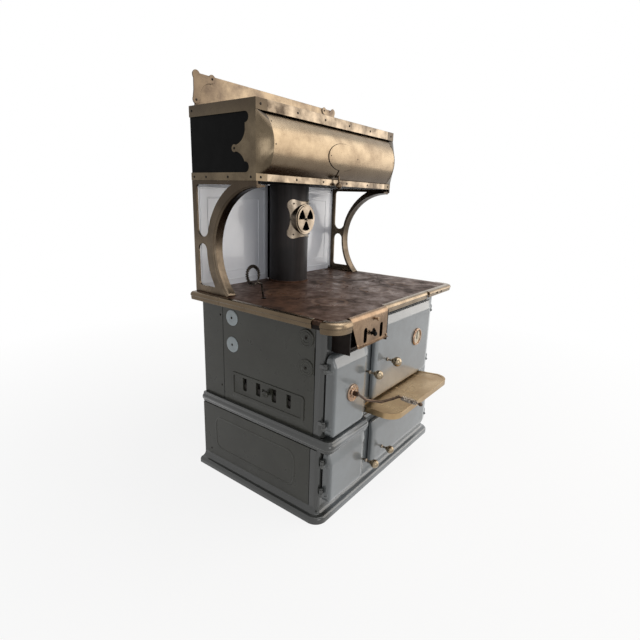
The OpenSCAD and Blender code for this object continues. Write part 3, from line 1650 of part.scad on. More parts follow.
// Nickel oven shelf: a tray turned down at its rim
module shelf_plan(t) {
  x0 = shelf_x + t;
  x1 = shelf_x + shelf_w - t;
  y1 = front_y - shelf_d + t;
  r = shelf_d * 0.36 - t;
  spread = shelf_w * 0.05;
  polygon(concat(
    [[x0, front_y]],
    arc([x0 + r, y1 + r], r, 180, 270, 10),
    arc([x1 + spread - r, y1 + r], r, 270, 360, 10),
    [[x1, front_y]]));
}

shelf_gap = 4;
shelf_t = 4;
shelf_groove = 1.5;
shelf_rib_shares = [0.12, 0.5, 0.88];
shelf_x = fire_door_x + fire_door_w + shelf_gap;

module oven_shelf() {
  t = shelf_t;
  color(nickel) up(shelf_z - shelf_h) {
    difference() {
      linear_extrude(shelf_h) shelf_plan(0);
      translate([0, t, -over]) linear_extrude(shelf_h - t + over) shelf_plan(t);
      up(shelf_h - shelf_groove) linear_extrude(over * 2) intersection() {
        shelf_plan(t * 3);
        translate([-top_w, front_y - shelf_d * 2]) square([2 * top_w, shelf_d * 2 - t * 3]);
      }
    }
    for (k = shelf_rib_shares) translate([shelf_x + shelf_w * k, front_y - shelf_d * 0.7, 0])
      cube([t, shelf_d * 0.7, shelf_h - over]);
    translate([shelf_x, front_y - t, -shelf_h / 2]) cube([shelf_w, t, shelf_h]);
  }
}

// Lid lifter: a coiled ring handle on a bent stem
lift_a = 30;
lift_b = 35;
lift_tilt = 17;
lift_core = 3.2;
lift_wire = 1.9;
lift_wraps = 20;
lift_rise = 2;
lift_stem_r = 4;
lift_collar_r = 9;
lift_foot = [lifter_pos[0], lifter_pos[1], top_z - notch_d + lift_rise];
lift_neck = lift_foot + [-lift_a * 0.4, 0, lift_a * 2.2];
lift_c = lift_foot + [-lift_a * 1.9, 0, lift_a * 3.5];
lift_x = [cos(lift_tilt), 0, sin(lift_tilt)];
lift_z = [-sin(lift_tilt), 0, cos(lift_tilt)];

function lift_at(q) = lift_a * cos(q) * lift_x + lift_b * sin(q) * lift_z;

lift_n = 72;
lift_ring = [for (i = [0 : lift_n]) lift_c + lift_at(-70 + 358 * i / lift_n)];
lift_m = lift_wraps * 8;
lift_dirs = [for (i = [0 : lift_m])
  cos(45 * i) * unit(lift_at(-30 + 280 * i / lift_m)) + sin(45 * i) * [0, 1, 0]];
lift_coil = [for (i = [0 : lift_m]) lift_c + lift_at(-30 + 280 * i / lift_m) +
  lift_dirs[i] * (lift_core + lift_wire)];

module lid_lifter() {
  echo(lid_lifter_least_gap = coil_gap(lift_coil, lift_wire));
  joint = lift_c + lift_at(-70);
  color(rough) {
    bar(lift_foot, lift_neck, lift_stem_r);
    translate(lift_neck) sphere(lift_stem_r * 1.05, $fn = coarse);
    bar(lift_neck, joint, lift_stem_r * 0.95);
    translate(joint) sphere(lift_stem_r * 1.1, $fn = coarse);
    tube(lift_ring, [for (q = lift_ring) unit(q - lift_c)], lift_core * 1.06, 8);
    tube(lift_coil, lift_dirs, lift_wire, 6);
    translate([lift_foot[0], lift_foot[1], top_z + seat])
      cylinder(h = lift_stem_r, r = lift_collar_r);
  }
}

// Screws that show on the body and the closet
screw_r = 4.5;
rail_shares = [-0.6, -0.2, 0.2, 0.6];
low_row_shares = [0.06, 0.4, 0.75, 0.95];
trim_screw_shares = [0.33, 0.52];
row_end_in = 16;
panel_screw_in = 11;
panel_side_in = 12;
crest_screw_low = [6, 27];
crest_screw_high = [85, 10];
strip_screw_in = 15;
strip_screw_drops = [90, 401];
foot_screw = [45, 25];

module screw_head() {
  rotate_extrude($fn = coarse) polygon(concat([[0, 0], [screw_r, 0]],
    arc([0, -screw_r * 0.667], screw_r * 1.2, 33, 90, 4)));
}

module front_screw(x, y, z) { translate([x, y, z]) forward() screw_head(); }

module side_screw(s, x, y, z) { translate([s * x, y, z]) rotate([0, s * 90, 0]) screw_head(); }

module screws() {
  y = closet_y0 - rail_out;
  ends = closet_x + casting_t;
  top_row = closet_z1 - top_rail_h / 2;
  low_row = closet_z + bottom_rail_h / 2;
  panel_y = rear_y - sheet_t;
  crest_y = back_y - sheet_t - casting_t;
  color(dull) {
    for (z = [top_row, low_row]) {
      for (k = rail_shares) front_screw(k * barrel_x, y, z);
      for (s = [-1, 1]) front_screw(s * (ends + barrel_x) / 2, y, z);
    }
    for (s = [-1, 1]) {
      for (k = low_row_shares) side_screw(s, ends, closet_y0 + closet_d * k, low_row);
      side_screw(s, ends, closet_y0 + scallop_tip[0], closet_z + scallop_tip[1]);
      side_screw(s, ends, back_y - row_end_in, top_row);
      for (z = [top_z + panel_screw_in, closet_z - panel_screw_in])
        front_screw(s * (bracket_x - bracket_t - panel_side_in), panel_y, z);
      front_screw(s * (panel_in_x + pipe_r), panel_y, closet_z - panel_screw_in);
      front_screw(s * (crest_x - crest_screw_low[0]), crest_y, closet_z1 + crest_screw_low[1]);
      front_screw(s * (crest_x - crest_screw_high[0]), crest_y,
        closet_z1 + crest_h - crest_screw_high[1]);
      for (d = strip_screw_drops) side_screw(s, upper_x, strip_y + strip_screw_in, top_z - d);
    }
    side_screw(-1, lower_x, rear_y - foot_screw[0], plinth_h + foot_screw[1]);
    for (k = trim_screw_shares) front_screw(right_end_x + (top_in_x - right_end_x) * k,
      top_in_y - trim_w - end_reach, top_z - trim_h * 0.42);
    for (cy = cover_ys, z = cover_zs) side_screw(-1, upper_x + cover_t * 0.7, cy, z);
  }
}

base_plinth();
lower_side_left();
lower_side_right();
upper_side_left();
upper_side_right();
back_plate();
belt_moulding();
lower_front();
upper_front();
main_top();
top_centres();
top_trim();
firebox_lining();
grate_frame();
ash_pan();
oven_box();
oven_rack();
flue_pipe();
pipe_plate();
bracket_left();
bracket_right();
splash_panels();
closet_shell();
closet_end_left();
closet_end_right();
closet_rails();
crest_plate();
crest_ends();
hinge_pins();
oven_shelf();
cover_plates();
screws();
grate_bar_left();
grate_bar_right();
fire_door();
rosette();
fire_knob();
crank();
crank_grip();
ash_door();
ash_knob();
oven_door();
oven_knob();
oven_gauge();
gauge_needle();
lower_door();
lower_knob();
closet_door();
closet_handle();
draft_spinner();
side_slide();
top_flap();
flap_slide();
lid_fire_front();
lid_fire_rear();
lid_middle_front();
lid_middle_rear();
lid_right_front();
lid_right_rear();
lid_lifter();
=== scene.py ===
# Looks of an antique wood cookstove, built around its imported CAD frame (Blender 4.5).
import json
import math

import bmesh
import bpy
from mathutils import Matrix, Vector


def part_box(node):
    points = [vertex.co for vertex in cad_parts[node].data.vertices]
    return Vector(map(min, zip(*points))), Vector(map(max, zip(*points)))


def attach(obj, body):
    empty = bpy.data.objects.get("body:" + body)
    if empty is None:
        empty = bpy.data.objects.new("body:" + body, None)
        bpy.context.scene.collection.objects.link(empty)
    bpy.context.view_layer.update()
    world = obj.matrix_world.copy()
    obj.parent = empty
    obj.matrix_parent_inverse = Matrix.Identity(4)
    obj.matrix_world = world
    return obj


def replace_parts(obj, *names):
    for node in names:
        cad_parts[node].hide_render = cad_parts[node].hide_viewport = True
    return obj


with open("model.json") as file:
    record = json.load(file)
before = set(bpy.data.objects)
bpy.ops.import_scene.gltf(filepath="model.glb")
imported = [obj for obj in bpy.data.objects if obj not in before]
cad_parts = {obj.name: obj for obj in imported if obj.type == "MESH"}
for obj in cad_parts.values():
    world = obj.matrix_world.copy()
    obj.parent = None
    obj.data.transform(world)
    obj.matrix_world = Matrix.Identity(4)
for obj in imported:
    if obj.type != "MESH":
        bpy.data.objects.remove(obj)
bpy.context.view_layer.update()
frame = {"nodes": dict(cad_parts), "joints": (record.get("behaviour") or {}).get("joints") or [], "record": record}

MM = 0.001

# Where each node rides and which finish it has
RECORD = frame["record"]
BODY_OF = {node: body for body, nodes in RECORD["behaviour"]["bodies"].items() for node in nodes}
SLOT_OF = {part["node"]: part["material_slot"] for part in RECORD["subparts"]}

# Camera, solved from the photograph's edges
CAMERA_AT = (-1.62029, -1.07196, 1.18936)
CAMERA_AZIMUTH = 53.0
CAMERA_ELEVATION = -15.3
CAMERA_ROLL = 1.9
SENSOR_MM = 36.0
LENS_MM = 25.25
CAMERA_REACH = 50

# Edges that the foundry and the polisher broke
EDGE_BREAK = 0.9 * MM
SMOOTH_ANGLE = math.radians(32)
# Below this angle two faces are one flat face
FLAT_ANGLE = math.radians(0.6)
# Points of a CAD mesh nearer than this are one point
CAD_JOINED = 0.01 * MM


def linear(code):
    """An sRGB hex value as the linear colour that Blender wants."""
    channels = [int(code[i:i + 2], 16) / 255 for i in (1, 3, 5)]
    return tuple(c / 12.92 if c <= 0.04045 else ((c + 0.055) / 1.055) ** 2.4 for c in channels) + (1.0,)


def per_mm(size):
    """Texture scale that gives features of this many millimetres on Object coordinates."""
    return 1.0 / (size * MM)


def add(tree, kind, inputs=None, **settings):
    """Adds a node with its settings; an input is a value or another node's socket."""
    node = tree.nodes.new(kind)
    for key, value in settings.items():
        setattr(node, key, value)
    for key, value in (inputs or {}).items():
        socket = node.inputs[key]
        if isinstance(value, bpy.types.NodeSocket):
            tree.links.new(value, socket)
        else:
            socket.default_value = value
    return node


def new_material(name):
    """An empty material with its Principled shader."""
    material = bpy.data.materials.new(name)
    material.use_nodes = True
    tree = material.node_tree
    tree.nodes.clear()
    shader = add(tree, "ShaderNodeBsdfPrincipled")
    add(tree, "ShaderNodeOutputMaterial", {"Surface": shader.outputs[0]})
    return material, tree, shader


def blend_colours(tree, factor, first, second):
    """Colour between first and second."""
    return add(tree, "ShaderNodeMix", {0: factor, 6: first, 7: second}, data_type="RGBA").outputs[2]


def remap(tree, value, low, high, to_low, to_high):
    """value from low..high carried to to_low..to_high, held at the ends."""
    node = add(tree, "ShaderNodeMapRange",
               {"Value": value, "From Min": low, "From Max": high, "To Min": to_low, "To Max": to_high})
    return node.outputs["Result"]


def noise(tree, place, size_mm, detail=3.0, rough=0.55):
    """Fractal noise whose blobs are about size_mm across."""
    node = add(tree, "ShaderNodeTexNoise",
               {"Vector": place, "Scale": per_mm(size_mm), "Detail": detail, "Roughness": rough})
    return node.outputs["Fac"]


def object_place(tree):
    """Object coordinates, in metres."""
    return add(tree, "ShaderNodeTexCoord").outputs["Object"]


def stretched(tree, place, scale):
    """The coordinates squeezed along an axis, for streaks."""
    return add(tree, "ShaderNodeMapping", {"Vector": place, "Scale": scale}).outputs["Vector"]


def occlusion_shade(tree, reach_mm):
    """0 in tight corners, 1 on open faces; the mask of the painted shade in corners and joints."""
    node = add(tree, "ShaderNodeAmbientOcclusion", {"Distance": reach_mm * MM}, samples=12)
    return node.outputs["AO"]


# Sizes of the patterns in the finishes, in mm. Polishing lines and casting grain are finer on the real stove and
# are drawn as coarse as the picture can show.
ENAMEL_CLOUD_MM = 160
ENAMEL_HAZE_MM = 55
ENAMEL_PEEL_MM = 30
ENAMEL_CHIP_MM = 26
# Reach of the painted shade in the enamel's corners
ENAMEL_CORNER_SHADE_MM = 8
NICKEL_CLOUD_MM = 90
NICKEL_DENT_MM = 60
NICKEL_SPOT_MM = 14
# Reach of the painted shade in the nickel's corners
NICKEL_CORNER_SHADE_MM = 9
NICKEL_LINE_MM = 2.4
IRON_CLOUD_MM = 45
TOP_CLOUD_MM = 70
TOP_RING_MM = 22
TOP_SCALE_MM = 7
PIPE_CLOUD_MM = 130
PIPE_MARK_MM = 10
WIRE_HIGHLIGHT_MM = 6

# Iron that shows where enamel has chipped, and the brown of the painted shade in nickel's corners
BARE_IRON = "#2a2522"
CORNER_SHADE_BROWN = "#2c241c"

# Directions of the polishing lines: along the width, upright, and none
ALONG = (0.06, 1.0, 1.0)
UPRIGHT = (1.0, 1.0, 0.08)
ALL_WAYS = (1.0, 1.0, 1.0)


def darkened_along(tree, place, tone, darkening, share=0.85):
    """The colour darkened along an axis; on the doors, frames, roll, rails and trim this is painted shade on the
    faces that the light misses.

    darkening is the axis, the places where it starts and where it is full, and its colour."""
    if not darkening:
        return tone
    along = add(tree, "ShaderNodeSeparateXYZ", {0: place}).outputs[darkening[0]]
    return blend_colours(tree, remap(tree, along, darkening[1], darkening[2], 0, share), tone, linear(darkening[3]))


def vitreous_enamel(name, colour, shade, rough=0.2, corner_shade_hex="#3a342c", wear=0.77, corner_shade_share=0.7,
                    coat=0.45, shine=0.5, darkening=None):
    """Glass fused on cast iron: deep gloss, a faint orange peel, brown painted shade in the joints and corners,
    small chips.
    """
    material, tree, shader = new_material(name)
    place = object_place(tree)
    cloud = noise(tree, place, ENAMEL_CLOUD_MM, 4)
    tone = blend_colours(tree, remap(tree, cloud, 0.35, 0.7, 0, 1), linear(colour), linear(shade))
    tone = darkened_along(tree, place, tone, darkening)
    # Painted shade: ambient occlusion darkens tight corners and joints towards a brown
    corner_shade = remap(tree, occlusion_shade(tree, ENAMEL_CORNER_SHADE_MM), 0.15, 0.7, corner_shade_share, 0)
    tone = blend_colours(tree, corner_shade, tone, linear(corner_shade_hex))
    chips = remap(tree, noise(tree, place, ENAMEL_CHIP_MM, 5, 0.65), wear, wear + 0.02, 0, 1)
    tone = blend_colours(tree, chips, tone, linear(BARE_IRON))
    tree.links.new(tone, shader.inputs["Base Color"])
    gloss = remap(tree, noise(tree, place, ENAMEL_HAZE_MM, 3), 0.3, 0.7, rough, rough + 0.1)
    tree.links.new(gloss, shader.inputs["Roughness"])
    shader.inputs["Coat Weight"].default_value = coat
    shader.inputs["Coat Roughness"].default_value = 0.05
    shader.inputs["Specular IOR Level"].default_value = shine
    peel = add(tree, "ShaderNodeBump",
               {"Height": noise(tree, place, ENAMEL_PEEL_MM, 1), "Strength": 0.12, "Distance": 0.5 * MM})
    tree.links.new(peel.outputs[0], shader.inputs["Normal"])
    return material


def nickel_plate(name, colour, tarnish, streak=ALONG, low=0.18, high=0.38, worn="#6a5a45", darkening=None):
    """Old nickel plate on iron: warm, finely polished lines, brown tarnish, dull where it is stained.

    streak is the direction of its lines, low and high are its roughness, darkening is as for darkened_along."""
    material, tree, shader = new_material(name)
    place = object_place(tree)
    cloud = noise(tree, place, NICKEL_CLOUD_MM, 5, 0.6)
    tone = blend_colours(tree, remap(tree, cloud, 0.38, 0.66, 0, 1), linear(colour), linear(tarnish))
    spots = remap(tree, noise(tree, place, NICKEL_SPOT_MM, 5, 0.7), 0.60, 0.72, 0, 0.55)
    tone = blend_colours(tree, spots, tone, linear(worn))
    tone = darkened_along(tree, place, tone, darkening)
    # Painted shade: ambient occlusion darkens the nickel's tight corners towards a dark brown
    corner_shade = remap(tree, occlusion_shade(tree, NICKEL_CORNER_SHADE_MM), 0.2, 0.75, 0.8, 0)
    tone = blend_colours(tree, corner_shade, tone, linear(CORNER_SHADE_BROWN))
    tree.links.new(tone, shader.inputs["Base Color"])
    lines = noise(tree, stretched(tree, place, streak), NICKEL_LINE_MM, 2)
    haze = add(tree, "ShaderNodeMath", {0: remap(tree, cloud, 0.3, 0.7, low, high),
                                        1: remap(tree, lines, 0.3, 0.7, -0.05, 0.05)}, operation="ADD")
    tree.links.new(haze.outputs[0], shader.inputs["Roughness"])
    shader.inputs["Metallic"].default_value = 1.0
    brushed = add(tree, "ShaderNodeBump", {"Height": lines, "Strength": 0.10, "Distance": 0.1 * MM})
    dents = add(tree, "ShaderNodeBump", {"Height": noise(tree, place, NICKEL_DENT_MM, 2), "Strength": 0.22,
                                         "Distance": 1.2 * MM, "Normal": brushed.outputs[0]})
    tree.links.new(dents.outputs[0], shader.inputs["Normal"])
    return material


def rough_iron(name, colour, light, grain_mm, low, high, depth=0.25, shine=0.5):
    """Cast, forged or painted iron: fine sand grain, slightly uneven colour."""
    material, tree, shader = new_material(name)
    place = object_place(tree)
    cloud = noise(tree, place, IRON_CLOUD_MM, 5, 0.6)
    tone = blend_colours(tree, remap(tree, cloud, 0.3, 0.7, 0, 1), linear(colour), linear(light))
    tree.links.new(tone, shader.inputs["Base Color"])
    tree.links.new(remap(tree, cloud, 0.3, 0.7, low, high), shader.inputs["Roughness"])
    shader.inputs["Specular IOR Level"].default_value = shine
    grain = add(tree, "ShaderNodeBump", {"Height": noise(tree, place, grain_mm, 3), "Strength": depth,
                                         "Distance": 0.3 * MM})
    tree.links.new(grain.outputs[0], shader.inputs["Normal"])
    return material


# The iron is oiled on the cooktop's upper face and sooty below it
OILED_ABOVE = 0.784
SOOT_FADE = 2 * MM
# Divides the scale of its rings
FULL_TURN = 6.2832


def seasoned_iron(name, centre, rings_shown=0.4):
    """Oiled and heat-stained cast iron: brown-black, with the rings that turning leaves round its centre."""
    material, tree, shader = new_material(name)
    place = object_place(tree)
    cloud = noise(tree, place, TOP_CLOUD_MM, 6, 0.62)
    tone = blend_colours(tree, remap(tree, cloud, 0.34, 0.68, 0, 1), linear("#2a1d16"), linear("#64493a"))
    middle = add(tree, "ShaderNodeVectorMath", {0: place, 1: (-centre[0], -centre[1], 0)}, operation="ADD")
    ring = add(tree, "ShaderNodeTexWave",
               {"Vector": middle.outputs[0], "Scale": per_mm(TOP_RING_MM) / FULL_TURN, "Distortion": 1.1,
                "Detail": 2.0, "Detail Scale": 1.2}, wave_type="RINGS", rings_direction="Z").outputs["Fac"]
    tone = blend_colours(tree, remap(tree, ring, 0.6, 0.98, 0, rings_shown), tone, linear("#7d6350"))
    scale = remap(tree, noise(tree, place, TOP_SCALE_MM, 4, 0.7), 0.56, 0.64, 0, 0.6)
    tone = blend_colours(tree, scale, tone, linear("#1a1310"))
    height = add(tree, "ShaderNodeSeparateXYZ", {0: place}).outputs["Z"]
    tone = blend_colours(tree, remap(tree, height, OILED_ABOVE, OILED_ABOVE - SOOT_FADE, 0, 0.9), tone,
                         linear("#0e0b09"))
    tree.links.new(tone, shader.inputs["Base Color"])
    tree.links.new(remap(tree, cloud, 0.34, 0.66, 0.62, 0.26), shader.inputs["Roughness"])
    shader.inputs["Specular IOR Level"].default_value = 0.1
    skin = add(tree, "ShaderNodeBump", {"Height": cloud, "Strength": 0.25, "Distance": 0.8 * MM})
    rings = add(tree, "ShaderNodeBump", {"Height": ring, "Strength": 0.25 * rings_shown,
                                         "Distance": 0.2 * MM, "Normal": skin.outputs[0]})
    tree.links.new(rings.outputs[0], shader.inputs["Normal"])
    return material


def blued_steel(name):
    """Rolled stovepipe steel: near black, brown where it has been hot, faint upright roll marks."""
    material, tree, shader = new_material(name)
    place = object_place(tree)
    marks = noise(tree, stretched(tree, place, (1.0, 1.0, 0.05)), PIPE_MARK_MM, 4)
    cloud = noise(tree, place, PIPE_CLOUD_MM, 4)
    tone = blend_colours(tree, remap(tree, marks, 0.3, 0.7, 0, 1), linear("#1b1817"), linear("#2b2524"))
    tone = blend_colours(tree, remap(tree, cloud, 0.45, 0.7, 0, 0.7), tone, linear("#121011"))
    tree.links.new(tone, shader.inputs["Base Color"])
    tree.links.new(remap(tree, marks, 0.3, 0.7, 0.34, 0.48), shader.inputs["Roughness"])
    shader.inputs["Metallic"].default_value = 0.55
    rolled = add(tree, "ShaderNodeBump", {"Height": marks, "Strength": 0.12, "Distance": 0.3 * MM})
    tree.links.new(rolled.outputs[0], shader.inputs["Normal"])
    return material


def wire_steel(name, colour, rough, highlight_hex="#8a8078"):
    """Drawn and blackened steel wire with pale patches at random: painted highlights."""
    material, tree, shader = new_material(name)
    place = object_place(tree)
    highlight_patches = remap(tree, noise(tree, place, WIRE_HIGHLIGHT_MM, 4), 0.45, 0.7, 0, 1)
    tone = blend_colours(tree, highlight_patches, linear(colour), linear(highlight_hex))
    tree.links.new(tone, shader.inputs["Base Color"])
    shader.inputs["Metallic"].default_value = 1.0
    shader.inputs["Roughness"].default_value = rough
    return material


FINISH = {
    # Doors: blue-grey glass with soft wide highlights, darker on the stove's left faces: painted shade
    "blue_enamel": vitreous_enamel("enamel_blue_grey", "#81878b", "#75797b", 0.14, wear=0.79, corner_shade_share=0.5,
                                   darkening=("X", -0.425, -0.452, "#3d3c36")),
    # Small nickel parts: warm grey, half bright
    "nickel": nickel_plate("nickel_old", "#94887a", "#6f6354"),
    # Closet sheets and stove polish: dull black
    "black_iron": rough_iron("stove_black", "#050505", "#090909", 1.6, 0.5, 0.65, 0.25, 0.06),
    # Flue: blued sheet that has browned in patches
    "pipe_steel": blued_steel("stovepipe_blued"),
    # Panels behind the cooktop: clean cool white glass
    "white_enamel": vitreous_enamel("enamel_white", "#eff3fb", "#e4e9f3", 0.14, "#a8a29a", 0.9, 0.3),
    # Cooktop casting; each lid has its own, with the rings round its own centre
    "cooktop_iron": seasoned_iron("iron_seasoned", (0.1, 0.0), 0.0),
    # Grate and lining: raw, matt, grey-brown
    "cast_iron": rough_iron("iron_raw", "#2b2826", "#3d3835", 2.0, 0.6, 0.8, 0.4),
    # Ash pan and rack: rolled steel, satin
    "steel_sheet": nickel_plate("steel_bright", "#8d8880", "#6d655c", (1.0, 0.06, 1.0), 0.3, 0.5),
    # Oven lining: dark blue glass
    "oven_enamel": vitreous_enamel("enamel_oven", "#2a2f36", "#20242a", 0.3),
    # Rosette and gauge ring: pale worn copper
    "copper": nickel_plate("copper_aged", "#b39c88", "#8f735f", ALL_WAYS, 0.16, 0.3, "#5b4638"),
    # Wound grip: dark wire with painted highlights
    "coil_steel": wire_steel("wire_blackened", "#4b4540", 0.22, "#c4b9ab"),
    # Needle and dial marks: thin black lacquer
    "needle_black": rough_iron("lacquer_black", "#0c0c0c", "#121212", 1.0, 0.3, 0.36, 0.05),
}
# The frames round the doors darken towards the stove's left outer corner: painted shade on its left side
FRAME_ENAMEL = vitreous_enamel("enamel_frame", "#7a8084", "#6e7275", 0.16, wear=0.79, corner_shade_share=0.6,
                               darkening=("X", -0.36, -0.43, "#2c2b25"))
# The sides of the stove: a darker copy of the enamel, painted shade on the sides that the light misses
SHADED_SIDE_ENAMEL = vitreous_enamel("enamel_side_shaded", "#46463f", "#3b3a33", 0.26, "#26221c", 0.79, 0.2, 0.1, 0.32)
# Nickel in several tones: darkest on the ends and brackets, lightest on the roll and the shelf
# Roll door: darker towards its foot, painted shade below the barrel's lit top
ROLL_NICKEL = nickel_plate("nickel_roll", "#97866e", "#7d6c57", (0.05, 1.0, 1.0), 0.2, 0.34, "#6d5b47",
                           ("Z", 1.38, 1.28, "#54473a"))
# Brackets: a darker copy of the nickel, painted shade, and darker still towards their tops
SHADED_BRACKET_NICKEL = nickel_plate("nickel_bracket_shaded", "#665a4c", "#4d4439", UPRIGHT, 0.2, 0.4, "#3d352b",
                              ("Z", 0.95, 1.2, "#3a3128"))
# Closet ends: a darker copy of the nickel, painted shade, and darker still towards their tops
SHADED_END_NICKEL = nickel_plate("nickel_end_shaded", "#685c4b", "#4f4538", UPRIGHT, 0.18, 0.36, "#41382d",
                          ("Z", 1.4, 1.5, "#453c32"))
# Rails: darker on their left ends, painted shade on the stove's left side
RAIL_NICKEL = nickel_plate("nickel_rail", "#9a8b78", "#443a30", ALONG, 0.2, 0.4, "#3f352b",
                           ("X", -0.445, -0.46, "#43392e"))
# Top trim: darker on its left outer face, painted shade
TRIM_NICKEL = nickel_plate("nickel_trim", "#94836c", "#736350", ALONG, 0.16, 0.34, "#5a4b3b",
                           ("X", -0.475, -0.5, "#564a3c"))
CREST_NICKEL = nickel_plate("nickel_crest", "#8b7b66", "#63564a", ALONG, 0.2, 0.4, "#463b30",
                            ("X", -0.2, -0.46, "#4a3f34"))
BALL_NICKEL = nickel_plate("nickel_ball", "#a3957f", "#83745f", ALL_WAYS, 0.14, 0.26, "#5c4e3f")
SHELF_NICKEL = nickel_plate("nickel_shelf", "#b39a75", "#a08664", ALONG, 0.26, 0.4, "#7f6a4e")
FLAP_NICKEL = nickel_plate("nickel_flap", "#927a62", "#6c5845", (1.0, 1.0, 0.1), 0.22, 0.4, "#4a3b2d")
SCREW_STEEL = wire_steel("screw_blackened", "#191715", 0.4, "#3a342f")
RING_STEEL = wire_steel("lifter_steel", "#1a1715", 0.28, "#5f574e")
DARK_FORGED = nickel_plate("steel_forged", "#5b4b40", "#33281f", (0.2, 1.0, 1.0), 0.18, 0.34, "#221a13")
PORCELAIN = vitreous_enamel("porcelain_pale", "#b3bfc4", "#a3afb4", 0.16, "#6a6a66", 0.9)

NODES_OF = (
    (SHADED_SIDE_ENAMEL, ("lower_side_left", "lower_side_right", "upper_side_left", "upper_side_right", "back_plate",
                   "side_slide")),
    (FRAME_ENAMEL, ("base_plinth", "belt_moulding", "lower_front", "upper_front")),
    (ROLL_NICKEL, ("closet_door", "closet_handle")),
    (SHADED_BRACKET_NICKEL, ("bracket_left", "bracket_right")),
    (SHADED_END_NICKEL, ("closet_end_left", "closet_end_right")),
    (RAIL_NICKEL, ("closet_rails",)),
    (TRIM_NICKEL, ("top_trim",)),
    (CREST_NICKEL, ("crest_plate", "crest_ends")),
    (SHELF_NICKEL, ("oven_shelf",)),
    (FLAP_NICKEL, ("top_flap",)),
    (DARK_FORGED, ("crank",)),
    (RING_STEEL, ("lid_lifter",)),
)
FINISH_OF = {node: finish for finish, nodes in NODES_OF for node in nodes}


def set_only(obj, material):
    """One material on the whole piece."""
    obj.data.materials.clear()
    obj.data.materials.append(material)


def new_piece(name, mesh, body, material):
    """A finished piece at the origin, riding on a body."""
    obj = bpy.data.objects.new(name, mesh)
    bpy.context.scene.collection.objects.link(obj)
    set_only(obj, material)
    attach(obj, body)
    return obj


def piece_of(shape, name, body, material, sharp=None):
    """A finished piece from a bmesh.

    sharp is the angle above which its edges stay sharp; None leaves every face flat."""
    mesh = bpy.data.meshes.new(name)
    shape.to_mesh(mesh)
    shape.free()
    if sharp is not None:
        mesh.polygons.foreach_set("use_smooth", [True] * len(mesh.polygons))
        mesh.set_sharp_from_angle(angle=sharp)
    return new_piece(name, mesh, body, material)


def break_edges(obj, width, **settings):
    """A small bevel on a piece's sharp edges."""
    edge = obj.modifiers.new("edge_break", "BEVEL")
    edge.width = width
    edge.segments = 2
    for key, value in settings.items():
        setattr(edge, key, value)


def merged(node):
    """A copy of a CAD node's mesh with its loose triangles joined."""
    shape = bmesh.new()
    shape.from_mesh(frame["nodes"][node].data)
    bmesh.ops.remove_doubles(shape, verts=shape.verts, dist=CAD_JOINED)
    return shape


def even_mesh(shape, size):
    """The closed shape again, as an even skin of small faces."""
    mesh = bpy.data.meshes.new("even")
    shape.to_mesh(mesh)
    shape.free()
    obj = bpy.data.objects.new("even", mesh)
    bpy.context.scene.collection.objects.link(obj)
    skin = obj.modifiers.new("even_skin", "REMESH")
    skin.mode = "VOXEL"
    skin.voxel_size = size
    bpy.context.view_layer.update()
    ready = bpy.data.meshes.new_from_object(obj.evaluated_get(bpy.context.evaluated_depsgraph_get()))
    obj.modifiers.remove(skin)
    bpy.data.objects.remove(obj)
    even = bmesh.new()
    even.from_mesh(ready)
    return even


def pillow(shape, node):
    """A door's casting with soft creases, its front falling back towards its rims."""
    back, left, right, bottom, top, rims = PILLOWS[node]
    shape = even_mesh(shape, PILLOW_SKIN)
    front = min(v.co.y for v in shape.verts)
    body = [v for v in shape.verts if left - LEAF_MARGIN < v.co.x < right + LEAF_MARGIN]
    soft = [v for v in body if v.co.y < back - LEAF_FIRM]
    for _ in range(PILLOW_ROUNDS):
        bmesh.ops.smooth_vert(shape, verts=soft, factor=0.5,
                              use_axis_x=True, use_axis_y=True, use_axis_z=True)
    for vert in body:
        x, y, z = vert.co
        if y >= back:
            continue
        share = 1.0
        for gap, (loss, reach) in zip((x - left, right - x, z - bottom, top - z), rims):
            near = 1 - max(gap, 0.0) / reach
            if near > 0:
                fall = (1 + PILLOW_CREASE) * near ** 2 / (near + PILLOW_CREASE)
                share *= 1 - loss / (back - front) * fall
        vert.co.y = back - (back - y) * share
    return shape


def dress(node, material):
    """Stands for a CAD node with its flat faces joined, its sharp edges broken and its curves smooth."""
    shape = merged(node)
    if node in PILLOWS:
        shape = pillow(shape, node)
    else:
        bmesh.ops.dissolve_limit(shape, angle_limit=FLAT_ANGLE, verts=shape.verts, edges=shape.edges)
    sharp = math.pi if node in PILLOWS else SMOOTH_ANGLE
    obj = piece_of(shape, node + "_dressed", BODY_OF[node], material, sharp)
    if node not in PILLOWS:
        break_edges(obj, EDGE_BREAK, angle_limit=SMOOTH_ANGLE, use_clamp_overlap=True, harden_normals=False)
    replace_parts(obj, node)


# The rounded door fronts: size of the skin's faces, rounds of smoothing, how far beyond its leaf a door is read,
# and how thick its back stays as it is
PILLOW_SKIN = 2.6 * MM
PILLOW_ROUNDS = 7
LEAF_MARGIN = 0.5 * MM
LEAF_FIRM = 6 * MM
# How softly the slope of a rim begins, as a share of its width
PILLOW_CREASE = 0.16
# Behind this plane a door stays as it is
LEAF_BACK_MM = -214


def leaf(left, right, bottom, top, *rims):
    """Values for pillow, from millimetres."""
    sides = [side * MM for side in (LEAF_BACK_MM, left, right, bottom, top)]
    return (*sides, [(loss * MM, reach * MM) for loss, reach in rims])


# Left, right, bottom and top of each leaf, then for its left, right, bottom and top rim how far the front falls
# back and over what width
PILLOWS = {
    "fire_door": leaf(-437, -194, 349, 661, (4, 12), (17, 50), (6, 20), (18, 42)),
    "ash_door": leaf(-437, -175, 76, 288, (4, 12), (16, 50), (6, 20), (17, 46)),
    "oven_door": leaf(-132, 388, 392, 735, (4, 20), (8, 36), (3, 20), (9, 44)),
    "lower_door": leaf(-112, 433, 76, 284, (4, 24), (9, 44), (4, 24), (10, 46)),
}

